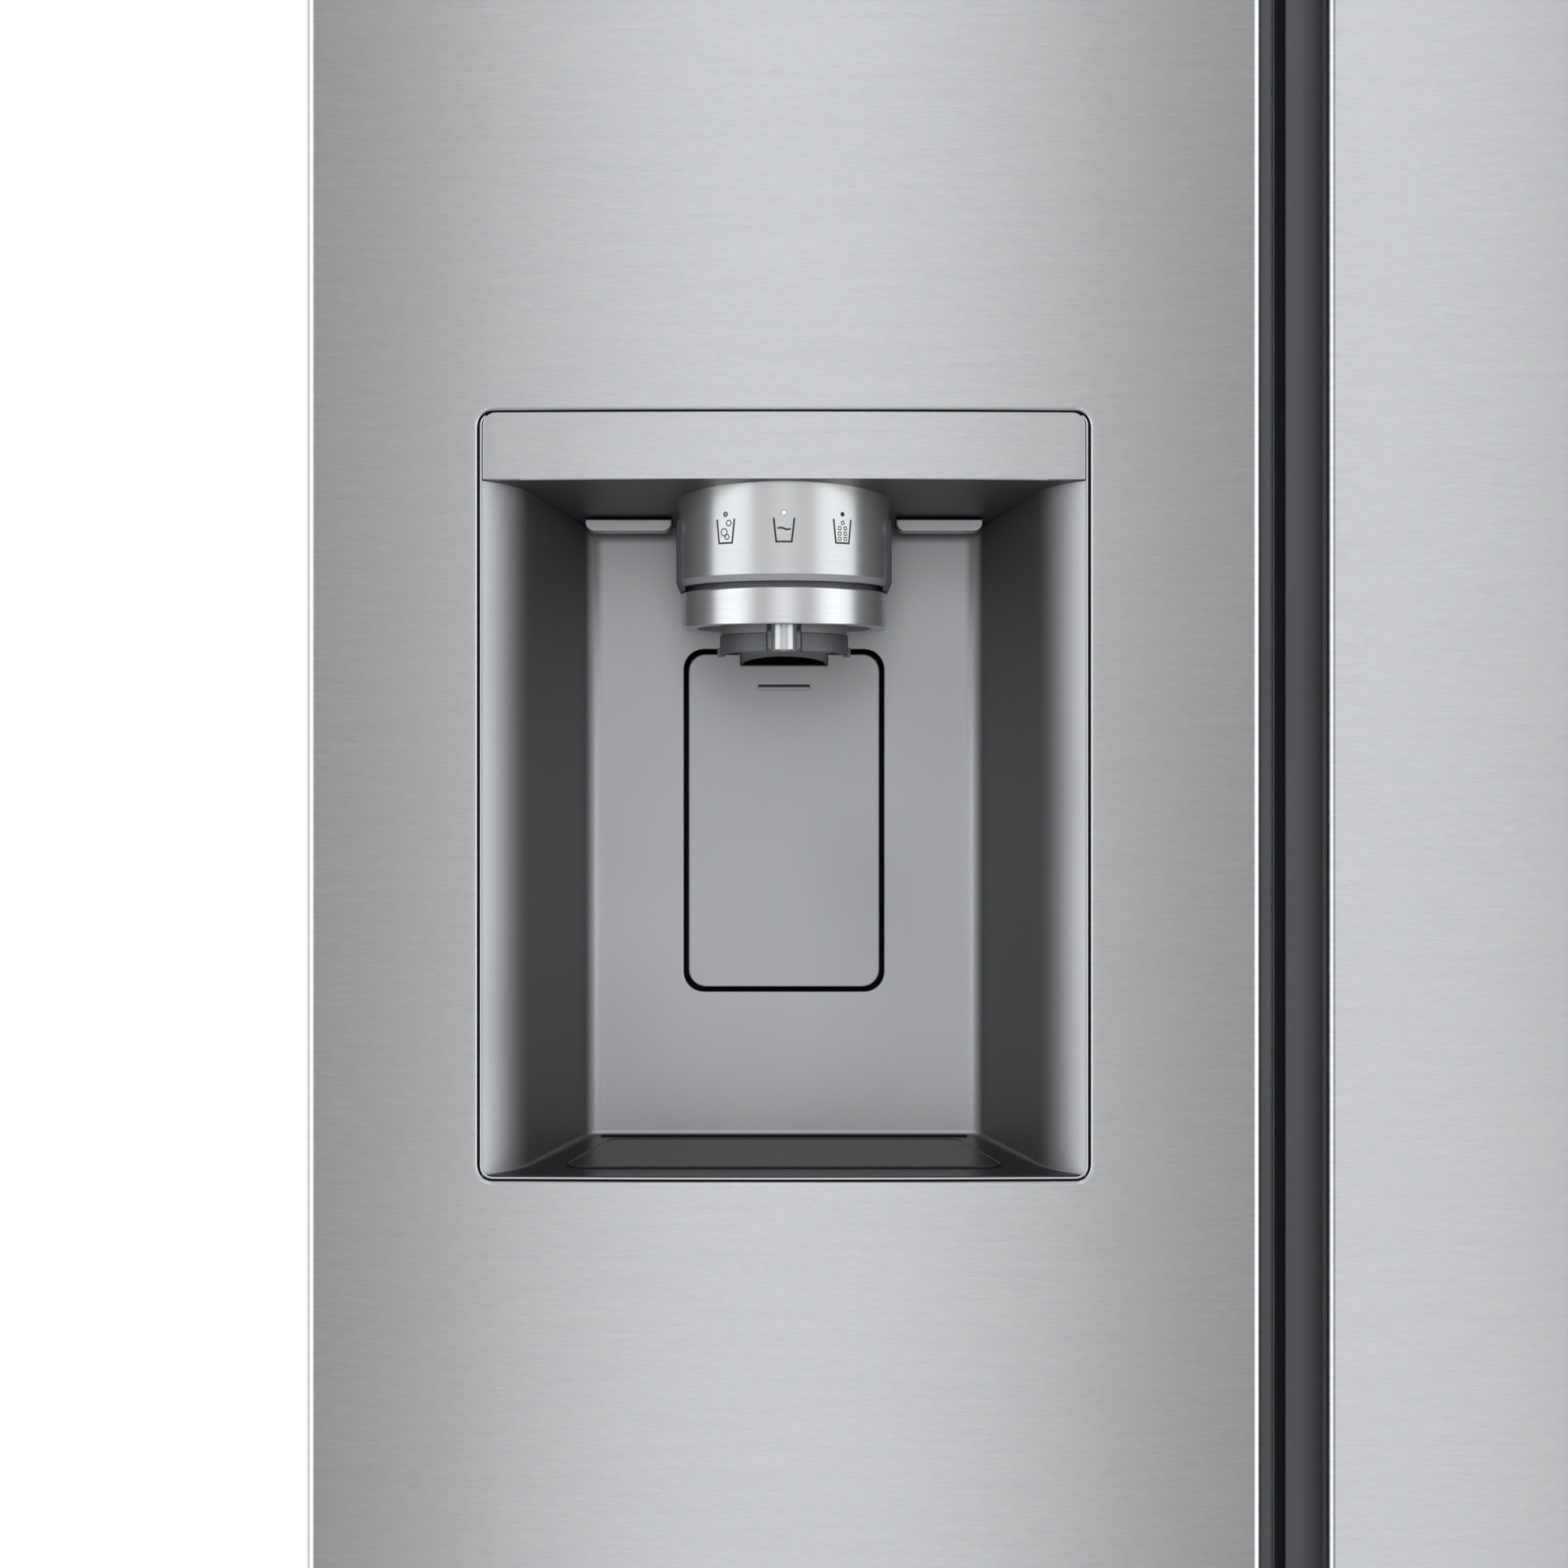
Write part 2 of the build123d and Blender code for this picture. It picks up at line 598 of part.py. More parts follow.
# Dark moulding inside the ring: neck, underside and the mouth that ice drops through
def ice_funnel():
    centre = (NOZZLE_X, NOZZLE_Y)
    flange_z = (RING_BOTTOM + RING_LIP, RING_BOTTOM + RING_LIP + 3)
    neck = rod("z", centre, RING_RADIUS - 3.7, (flange_z[0], COLLAR_Z[0]))
    neck = neck - rod("z", centre, RING_RADIUS - 6.5, (flange_z[1], COLLAR_Z[1]))
    mouth = rod("z", centre, FUNNEL_RADIUS, (FUNNEL_BOTTOM, flange_z[1]))
    body = neck + mouth - rod("z", centre, FUNNEL_RADIUS - 2.3, (FUNNEL_BOTTOM - 1, RING_BOTTOM + 6))
    half_notch = (NOZZLE_X - 7, NOZZLE_X + 7)
    notch = block(half_notch, (NOZZLE_Y - FUNNEL_RADIUS - 2, NOZZLE_Y - 20), (FUNNEL_BOTTOM - 1, flange_z[0]))
    return body - notch - rod("z", spout_centre(), SPOUT_RADIUS + FIT, (FUNNEL_BOTTOM, RING_TOP))


def spout_centre():
    return NOZZLE_X, NOZZLE_Y - FUNNEL_RADIUS - 1.0


def water_nozzle():
    tube = rod("z", spout_centre(), SPOUT_RADIUS, (SPOUT_BOTTOM, RING_TOP - 2))
    tube = chamfer(tube.edges().group_by(Axis.Z)[0], 0.5)
    collar_z = RING_BOTTOM + RING_LIP + 3
    collar = rod("z", spout_centre(), SPOUT_RADIUS + 2, (collar_z, collar_z + 3))
    return tube + collar - rod("z", spout_centre(), SPOUT_RADIUS - 1.4, (SPOUT_BOTTOM - 1, RING_TOP - 6))


def dispenser_lamps():
    lamps = []
    for side in (-1, 1):
        x = between(NOZZLE_X + side * 48.6, NOZZLE_X + side * 86.0)
        face = rounded_rectangle(x, (1215.4, 1228.0), 3.2)
        bar = prism_y(face, (RECESS_BACK - 22, RECESS_BACK - 8))
        lamps.append(bar - above_ceiling(0))
    return Compound(lamps)


def paddle():
    y = (RECESS_BACK, RECESS_BACK + PADDLE_THICKNESS)
    plate = prism_y(paddle_window(0), y)
    plate = fillet(plate.edges().group_by(Axis.Y)[0], 0.6)
    notch = rectangle(grown((NOZZLE_X, NOZZLE_X), NOTCH_HALF_WIDTH), (NOTCH_BOTTOM, PADDLE_TOP + 1))
    groove = rounded_rectangle(grown((NOZZLE_X, NOZZLE_X), 11.5), (1147.6, 1150.0), 1.1)
    plate = plate - prism_y(notch, grown(y, 1)) - prism_y(groove, (y[0] - 1, y[0] + 1.4))
    pivot = (paddle_pivot_y(), PADDLE_PIVOT_Z)
    for side in (-1, 1):
        ear_x = between(NOZZLE_X + side * (PADDLE_WIDTH / 2 - 5), NOZZLE_X + side * (PADDLE_WIDTH / 2 - 1))
        pin_x = between(NOZZLE_X + side * (PADDLE_WIDTH / 2 - 3), NOZZLE_X + side * (PADDLE_WIDTH / 2 + 4.2))
        ear = block(ear_x, (y[0] + 1, pivot[0] + 4), grown((pivot[1], pivot[1]), 4))
        plate = plate + ear + rod("x", pivot, PADDLE_PIVOT_RADIUS, pin_x)
    return plate


# Thin tray that lies on the sloping floor, a little narrower at the back
def drip_tray():
    near, far = (FRONT + depth for depth in TRAY_DEPTHS)
    corners = [(NOZZLE_X + side * half, y) for side, half, y in (
        (-1, TRAY_HALF_WIDTHS[0], near),
        (1, TRAY_HALF_WIDTHS[0], near),
        (1, TRAY_HALF_WIDTHS[1], far),
        (-1, TRAY_HALF_WIDTHS[1], far),
    )]
    plan = make_face(Polyline(*corners, close=True))
    plan = fillet(plan.vertices(), TRAY_CORNER)

    def layer(outline, low, high):
        side = make_face(
            Polyline(
                (near - 5, sloped(FLOOR_FRONT, FLOOR_BACK, near - 5) + low),
                (far + 5, sloped(FLOOR_FRONT, FLOOR_BACK, far + 5) + low),
                (far + 5, sloped(FLOOR_FRONT, FLOOR_BACK, far + 5) + high),
                (near - 5, sloped(FLOOR_FRONT, FLOOR_BACK, near - 5) + high),
                close=True,
            )
        )
        upright = prism_z(outline, (BEZEL_BOTTOM, BEZEL_BOTTOM + 60))
        return upright & prism_x(side, grown((NOZZLE_X, NOZZLE_X), BEZEL_HALF_WIDTH))

    return layer(plan, FIT, FIT + TRAY_HEIGHT) - layer(offset(plan, -2.5), FIT + TRAY_HEIGHT / 2, 5)


# Fresh-food door


def fridge_door_foam():
    z = (DOOR_BOTTOM + CAP_THICKNESS, DOOR_TOP - CAP_THICKNESS)
    return Compound([prism_z(core_plan(FRIDGE), z), block(*grip_strip(FRIDGE), z)])


def fridge_door_liner():
    runs = ((COMPARTMENT_BOTTOM + 6, COMPARTMENT_TOP - 8),)
    return liner_plate(FRIDGE) + bin_dams(FRIDGE, runs, -245.0)


# Cabinet


def outer_wrapper():
    outside = block((-SIDE, SIDE), (CASE_FRONT, BACK - SHEET), (CASE_BOTTOM, CASE_TOP))
    inside = block(
        (-SIDE + SHEET, SIDE - SHEET), (CASE_FRONT - 1, BACK + 1), (CASE_BOTTOM - 1, CASE_TOP - SHEET)
    )
    face = block(
        (-SIDE + SHEET, SIDE - SHEET), (CASE_FRONT, CASE_FRONT + FRAME_SHEET), (BASE_Z, CASE_TOP - SHEET)
    )
    for room in ROOMS:
        face = face - block(
            room.x, (CASE_FRONT - 1, CASE_FRONT + 5), (COMPARTMENT_BOTTOM, COMPARTMENT_TOP)
        )
    return (outside - inside) + face


def cabinet_foam():
    y = (CASE_FRONT + FRAME_SHEET, BACK - SHEET)
    top = CASE_TOP - SHEET
    step_y, step_z = STEP_Y + LINER_SKIN, STEP_Z - LINER_SKIN
    back_y = COMPARTMENT_BACK + LINER_SKIN
    floor_z, ceiling_z = COMPARTMENT_BOTTOM - LINER_SKIN, COMPARTMENT_TOP + LINER_SKIN
    outer = (-SIDE + SHEET, SIDE - SHEET)
    left = (outer[0], FREEZER_ROOM.x[0] - LINER_SKIN)
    right = (FRIDGE_ROOM.x[1] + LINER_SKIN, outer[1])
    middle = (FREEZER_ROOM.x[1] + LINER_SKIN, FRIDGE_ROOM.x[0] - LINER_SKIN)
    inner = (left[1], right[0])
    slabs = [
        block(inner, y, (ceiling_z, top)),
        block(inner, (back_y, y[1]), (step_z, ceiling_z)),
        block(middle, (y[0], back_y), (step_z, ceiling_z)),
        block(middle, (y[0], step_y), (floor_z, step_z)),
        block(inner, (y[0], step_y), (BASE_Z, floor_z)),
        block(inner, (step_y, MACHINE_FRONT), (BASE_Z, step_z)),
        block(inner, (MACHINE_FRONT, y[1]), (MACHINE_TOP, step_z)),
    ]
    for wall in (left, right):
        slabs.append(block(wall, y, (step_z, top)))
        slabs.append(block(wall, (y[0], MACHINE_FRONT), (BASE_Z, step_z)))
        slabs.append(block(wall, (MACHINE_FRONT, y[1]), (MACHINE_TOP, step_z)))
    return Compound(slabs)


def room_profile(grow):
    front = CASE_FRONT + FRAME_SHEET
    return make_face(
        Polyline(
            (front - (0 if grow else 1), COMPARTMENT_BOTTOM - grow),
            (STEP_Y + grow, COMPARTMENT_BOTTOM - grow),
            (STEP_Y + grow, STEP_Z - grow),
            (COMPARTMENT_BACK + grow, STEP_Z - grow),
            (COMPARTMENT_BACK + grow, COMPARTMENT_TOP + grow),
            (front - (0 if grow else 1), COMPARTMENT_TOP + grow),
            close=True,
        )
    )


def liner(room):
    shell = prism_x(room_profile(LINER_SKIN), grown(room.x, LINER_SKIN)) - prism_x(room_profile(0), room.x)
    rails = []
    for edge, inward in zip(room.x, (1, -1)):
        x = between(edge, edge + inward * RAIL_WIDTH)
        for height in room.shelves:
            rails.append(block(x, (SHELF_FRONT + 10, room.shelf_back - 10), (height - RAIL_HEIGHT, height)))
        runner_x = between(edge, edge + inward * (RAIL_WIDTH + DRAWER_CLEARANCE))
        runner_z = (UPPER_DRAWER[0] - RAIL_HEIGHT, UPPER_DRAWER[0] - SLIDE_GAP)
        rails.append(block(runner_x, (DRAWER_FRONT - 40, STEP_Y), runner_z))
    return shell + rails


def shelves(room):
    plates = []
    for height in room.shelves:
        x, y = grown(room.x, -2), (SHELF_FRONT, room.shelf_back)
        plate = block(x, y, (height, height + SHELF_THICKNESS))
        plates.append(fillet(plate.edges().filter_by(Axis.Z), 8))
    return Compound(plates)


def drawer(room, z, back):
    x = grown(room.x, -DRAWER_CLEARANCE)
    box = tray(x, (DRAWER_FRONT, back), z, DRAWER_WALL, 16)
    pull = block(grown(x, -40), (DRAWER_FRONT - 12, DRAWER_FRONT + 1), (z[1] - 16, z[1]))
    pull = fillet(pull.edges().filter_by(Axis.X).group_by(Axis.Y)[0], 4)
    scoop = block(grown(x, -44), (DRAWER_FRONT - 8, DRAWER_FRONT - 0.5), (z[1] - 17, z[1] - 4))
    return box + pull - scoop


# Ice maker, bin and auger at the top of the freezer
AUGER_Z = 1362.0
AUGER_RADIUS = 36.0
ICE_BIN_Y = (-200.0, 200.0)
ICE_BIN_Z = (1317.2, 1530.0)
SHAFT_RADIUS = 6.0


def ice_bin():
    x = grown(FREEZER_ROOM.x, -9)
    body = tray(x, ICE_BIN_Y, ICE_BIN_Z, 3, 14)
    outlet = rod("y", (NOZZLE_X, AUGER_Z), AUGER_RADIUS + 2, (ICE_BIN_Y[0] - 1, ICE_BIN_Y[0] + 5))
    bearing = rod("y", (NOZZLE_X, AUGER_Z), SHAFT_RADIUS + RUNNING, (ICE_BIN_Y[1] - 5, ICE_BIN_Y[1] + 1))
    return body - outlet - bearing


def ice_auger():
    shaft = rod("y", (NOZZLE_X, AUGER_Z), SHAFT_RADIUS, (ICE_BIN_Y[0] + 2, AUGER_MOTOR_Y + 8))
    blades = []
    for turn in range(8):
        y = ICE_BIN_Y[0] + 25 + 42 * turn
        blade = block((-7, 7), (y, y + 4), (-AUGER_RADIUS, AUGER_RADIUS))
        blades.append(Pos(NOZZLE_X, 0, AUGER_Z) * Rot(0, 45 * turn, 0) * blade)
    return shaft + blades


def ice_maker():
    x, y, z = (-385.0, -130.0), (-40.0, 210.0), (1590.0, 1660.0)
    mould = block(x, y, (z[0], z[0] + 40))
    cells = []
    for column in range(2):
        for row in range(6):
            cell_x = x[0] + 10 + column * 122
            cell_y = y[0] + 10 + row * 39
            cells.append(block((cell_x, cell_x + 113), (cell_y, cell_y + 35), (z[0] + 8, z[0] + 45)))
    motor = block((x[1], x[1] + 45), y, z)
    hanger_z = (z[0] + 40, COMPARTMENT_TOP)
    hangers = [block((x[0], x[0] + 8), span, hanger_z) for span in ((-25, 0), (165, 190))]
    hangers.append(block((x[1] + 5, x[1] + 40), (60, 110), (z[1], COMPARTMENT_TOP)))
    return mould - cells + motor + hangers


# Freezer back: evaporator behind a vented cover, with its fan
EVAPORATOR_COVER_Y = (300.0, 304.0)
EVAPORATOR_FAN_Z = 1130.0
EVAPORATOR_FAN_RADIUS = 58.0
AUGER_MOTOR_Y = 212.0


def evaporator_cover():
    x = FREEZER_ROOM.x
    panel = block(x, EVAPORATOR_COVER_Y, (STEP_Z, 1440.0))
    slots = []
    for row in range(9):
        z = STEP_Z + 40 + 22 * row
        slots.append(block(grown(x, -60), grown(EVAPORATOR_COVER_Y, 1), (z, z + 6)))
    for ring in range(-3, 4):
        half = math.sqrt(EVAPORATOR_FAN_RADIUS**2 - (ring * 15) ** 2)
        z = EVAPORATOR_FAN_Z + ring * 15
        slots.append(
            block(grown((NOZZLE_X, NOZZLE_X), half), grown(EVAPORATOR_COVER_Y, 1), (z - 4, z + 4))
        )
    motor = rod("y", (NOZZLE_X, EVAPORATOR_FAN_Z), 16, (EVAPORATOR_COVER_Y[0], EVAPORATOR_COVER_Y[1] + 8))
    shaft = rod("y", (NOZZLE_X, EVAPORATOR_FAN_Z), 2.5, (EVAPORATOR_COVER_Y[1], EVAPORATOR_COVER_Y[1] + 30))
    auger_motor = block(
        grown((NOZZLE_X, NOZZLE_X), 45), (AUGER_MOTOR_Y, EVAPORATOR_COVER_Y[0]), grown((AUGER_Z, AUGER_Z), 42)
    )
    auger_motor = fillet(auger_motor.edges().filter_by(Axis.Y), 8)
    socket = rod("y", (NOZZLE_X, AUGER_Z), SHAFT_RADIUS + RUNNING, grown((AUGER_MOTOR_Y, AUGER_MOTOR_Y), 12))
    return panel - slots + motor + shaft + (auger_motor - socket)


def serpentine(runs, start, pitch, length, y, radius):
    points = []
    for run in range(runs):
        ends = [start[0], start[0] + length]
        if run % 2:
            ends.reverse()
        points += [(end, y, start[1] + run * pitch) for end in ends]
    path = FilletPolyline(*points, radius=pitch * 0.45)
    section = Plane(path @ 0, z_dir=path % 0) * Circle(radius)
    return sweep(section, path)


def evaporator_coil():
    start_x = FREEZER_ROOM.x[0] + 30
    coil = serpentine(9, (start_x, 350.0), 62.0, 270.0, 326.0, 4.0)
    plate_y, plate_z = (312.0, COMPARTMENT_BACK), (335.0, 862.0)
    plates = [block((x, x + 2), plate_y, plate_z) for x in (start_x + 45, start_x + 225)]
    return coil + plates


# Fan about the Z axis at the origin: a hub with pitched blades
def fan(radius, blades, depth):
    hub = Cylinder(14, depth) - Cylinder(2.5 + RUNNING, depth + 2)
    wheel = hub
    reach = radius - 10
    for index in range(blades):
        blade = Pos(10 + reach / 2, 0, 0) * Rot(32, 0, 0) * Box(reach, radius * 0.5, 2)
        wheel = wheel + Rot(0, 0, 360 / blades * index) * (blade - Cylinder(12, depth))
    return wheel & Cylinder(radius, depth * 3)


def evaporator_fan():
    return Pos(NOZZLE_X, EVAPORATOR_COVER_Y[1] + 20, EVAPORATOR_FAN_Z) * Rot(90, 0, 0) * fan(50, 5, 14)


# Machine compartment
FAN_CENTRE = (310.0, 160.0)
FAN_X = 40.0
COMPRESSOR_CENTRE = (-230.0, 308.0)
COVER_Y = (BACK - 1.2, BACK)
WATER_INLET = (-390.0, 150.0)
POWER_INLET = (395.0, 110.0)


def condenser_fan_shroud():
    plate = block((FAN_X - 40, FAN_X - 37), (MACHINE_FRONT + 10, BACK - 20), (BASE_Z, MACHINE_TOP - 8))
    plate = plate - rod("x", FAN_CENTRE, 76, (FAN_X - 45, FAN_X - 30))
    arms = block((FAN_X - 40, FAN_X - 36), grown((FAN_CENTRE[0],) * 2, 80), grown((FAN_CENTRE[1],) * 2, 5))
    motor = rod("x", FAN_CENTRE, 22, (FAN_X - 70, FAN_X - 36))
    shaft = rod("x", FAN_CENTRE, 2.5, (FAN_X - 36, FAN_X + 12))
    return plate + arms + motor + shaft


def condenser_fan():
    return Pos(FAN_X, *FAN_CENTRE) * Rot(0, 90, 0) * fan(70, 5, 18)


def condenser_coil():
    coil = serpentine(6, (125.0, 92.0), 27.0, 250.0, 300.0, 3.5)
    plates = [block((x, x + 2), (280.0, 320.0), (BASE_Z, 240.0)) for x in (155.0, 343.0)]
    return coil + plates


def compressor():
    foot_z = BASE_Z + 14
    can = fillet(rod("z", COMPRESSOR_CENTRE, 76, (foot_z, foot_z + 145)).edges(), 28)
    centre_x, centre_y = COMPRESSOR_CENTRE
    plate = block(grown((centre_x, centre_x), 105), grown((centre_y, centre_y), 62), (foot_z - 4, foot_z + 6))
    plate = fillet(plate.edges().filter_by(Axis.Z), 14)
    grommets = []
    for x in (-90, 90):
        for y in (-48, 48):
            grommets.append(rod("z", (centre_x + x, centre_y + y), 12, (BASE_Z, foot_z - 3)))
    terminal_box = block((-318.0, -298.0), grown((centre_y, centre_y), 28), (foot_z + 40, foot_z + 100))
    return can + plate + grommets + terminal_box


def machine_cover():
    panel = block((-SIDE + 4, SIDE - 4), COVER_Y, (CASE_BOTTOM + 6, MACHINE_TOP))
    slots = []
    for row in range(6):
        for column in range(17):
            x = -328 + column * 41
            z = 80 + row * 27
            slots.append(block((x - 14, x + 14), grown(COVER_Y, 1), (z - 3, z + 3)))
    water = rod("y", WATER_INLET, 13, grown(COVER_Y, 1))
    power = block(
        grown((POWER_INLET[0],) * 2, 17), grown(COVER_Y, 1), grown((POWER_INLET[1],) * 2, 13)
    )
    return panel - slots - water - power


def back_panel():
    return block((-SIDE, SIDE), (BACK - SHEET, BACK), (MACHINE_TOP + 0.5, CASE_TOP))


def water_inlet():
    x, z = WATER_INLET
    body = block(grown((x, x), 22), (BACK - 62, BACK - 22), grown((z, z), 24))
    foot = block(grown((x, x), 12), (BACK - 62, BACK - 30), (BASE_Z, z - 20))
    spigot = rod("y", WATER_INLET, 9, (BACK - 30, BACK - 0.5))
    return body + foot + spigot - rod("y", WATER_INLET, 3.3, (BACK - 25, BACK))


def power_inlet():
    x, z = POWER_INLET
    socket = block(grown((x, x), 16), (BACK - 40, BACK - 0.2), grown((z, z), 12))
    foot = block(grown((x, x), 8), (BACK - 40, BACK - 25), (BASE_Z, z))
    room = block(grown((x, x), 13), (BACK - 18, BACK), grown((z, z), 9))
    pins = [block((x + at - 1, x + at + 1), (BACK - 22, BACK - 6), (z - 3, z + 3)) for at in (-7, 0, 7)]
    return socket + foot - room + pins


# Base, feet and rollers
LEG = (400.0, -270.0)
LEG_RADIUS = 6.0
ROLLER = (400.0, 370.0)
ROLLER_RADIUS = 22.0
ROLLER_HALF_WIDTH = 12.0
AXLE_RADIUS = 4.0


def base_frame():
    x = grown((0, 0), SIDE - SHEET - 0.5)
    y = (CASE_FRONT + 4, COVER_Y[0])
    frame = block(x, y, (BASE_Z - 2, BASE_Z))
    for edge in x:
        frame = frame + block(between(edge, edge - math.copysign(2, edge)), y, (CASE_BOTTOM + 2, BASE_Z))
    frame = frame + block(x, (y[0], y[0] + 2), (CASE_BOTTOM + 2, BASE_Z))
    for side in (-1, 1):
        leg = (side * LEG[0], LEG[1])
        frame = frame + rod("z", leg, 13, (CASE_BOTTOM - 6, BASE_Z)) - rod(
            "z", leg, LEG_RADIUS + RUNNING, (0, BASE_Z + 1)
        )
        for cheek in (-1, 1):
            inner = side * ROLLER[0] + cheek * (ROLLER_HALF_WIDTH + 2)
            plate = block(
                between(inner, inner + cheek * 3), grown((ROLLER[1],) * 2, 16), (ROLLER_RADIUS - 10, BASE_Z)
            )
            hole = rod("x", (ROLLER[1], ROLLER_RADIUS), AXLE_RADIUS + RUNNING, grown((inner, inner), 6))
            frame = frame + (plate - hole)
    return frame


def levelling_leg(side):
    centre = (side * LEG[0], LEG[1])
    foot = chamfer(rod("z", centre, 21, (0, 9)).edges(), 1.5)
    hexagon = Pos(*centre, 9) * extrude(RegularPolygon(12, 6), 8)
    return foot + hexagon + rod("z", centre, LEG_RADIUS, (9, BASE_Z - 3))


def roller(side):
    axis = (ROLLER[1], ROLLER_RADIUS)
    span = grown((side * ROLLER[0],) * 2, ROLLER_HALF_WIDTH)
    wheel = chamfer(rod("x", axis, ROLLER_RADIUS, span).edges(), 1.5)
    return wheel - rod("x", axis, AXLE_RADIUS + RUNNING, grown(span, 1))


def roller_axles():
    axles = []
    for side in (-1, 1):
        span = grown((side * ROLLER[0],) * 2, ROLLER_HALF_WIDTH + 7)
        axles.append(rod("x", (ROLLER[1], ROLLER_RADIUS), AXLE_RADIUS, span))
    return Compound(axles)


GRILLE_Y = (-346.0, -343.0)
GRILLE_Z = (14.0, 62.0)


def toe_grille():
    half = SIDE - 8
    panel = block((-half, half), GRILLE_Y, GRILLE_Z)
    slots = []
    for index in range(-30, 31):
        x = index * 13.4
        slot = rounded_rectangle((x - 3, x + 3), (GRILLE_Z[0] + 12, GRILLE_Z[1] - 10), 2.9)
        slots.append(prism_y(slot, grown(GRILLE_Y, 1)))
    behind = (GRILLE_Y[1], CASE_FRONT - HINGE_FLANGE)
    returns = [block(between(side * half, side * (half - 3)), behind, GRILLE_Z) for side in (-1, 1)]
    ledge = block((-half, half), behind, (GRILLE_Z[1] - 3, GRILLE_Z[1]))
    return panel - slots + returns + ledge


HINGE_WIDTH = 66.0
HINGE_FRONT = HINGE_Y - 22.0


def hinge_span(door):
    start = door.hinge_edge + door.way * 4
    return between(start, start + door.way * HINGE_WIDTH)


def bottom_hinges():
    brackets = []
    for door in (FREEZER, FRIDGE):
        x = hinge_span(door)
        leaf = block(x, (HINGE_FRONT, CASE_FRONT), (66.0, 74.0))
        leaf = fillet(leaf.edges().filter_by(Axis.Z).group_by(Axis.Y)[0], 12)
        flange = block(x, (CASE_FRONT - HINGE_FLANGE, CASE_FRONT), (CASE_BOTTOM + 4, 74.0))
        centre = (door.hinge_x, HINGE_Y)
        collar = rod("z", centre, 10, (74.0, DOOR_BOTTOM - FIT))
        pin = rod("z", centre, PIN_RADIUS, (66.0, DOOR_BOTTOM + CAP_THICKNESS - 1))
        brackets.append(leaf + flange + collar + pin)
    return Compound(brackets)


def top_hinges():
    brackets = []
    for door in (FREEZER, FRIDGE):
        leaf = block(hinge_span(door), (HINGE_FRONT, -240.0), (CASE_TOP, CASE_TOP + HINGE_PLATE))
        leaf = fillet(leaf.edges().filter_by(Axis.Z), 12)
        pin_z = (DOOR_TOP - CAP_THICKNESS + 1, CASE_TOP + HINGE_PLATE)
        pin = rod("z", (door.hinge_x, HINGE_Y), PIN_RADIUS, pin_z)
        brackets.append(leaf + pin)
    return Compound(brackets)


def hinge_covers():
    covers = []
    for door in (FREEZER, FRIDGE):
        x = between(door.hinge_edge, door.hinge_edge + door.way * 96)
        y = (HINGE_FRONT - 8, -228.0)
        z = (CASE_TOP, HEIGHT)
        shell = block(x, y, z)
        shell = fillet(shell.edges().filter_by(Axis.Z), 10)
        shell = fillet(shell.edges().group_by(Axis.Z)[-1], 6)
        room = block(grown(x, -2.5), grown(y, -2.5), (z[0] - 1, z[1] - 2.5))
        covers.append(shell - fillet(room.edges().filter_by(Axis.Z), 7.5))
    return Compound(covers)


def cabinet_lamps():
    lamps = []
    for room in ROOMS:
        x = grown(room.x, -60)
        lamps.append(block(x, (-170.0, -120.0), (COMPARTMENT_TOP - 6, COMPARTMENT_TOP)))
    return Compound(lamps)


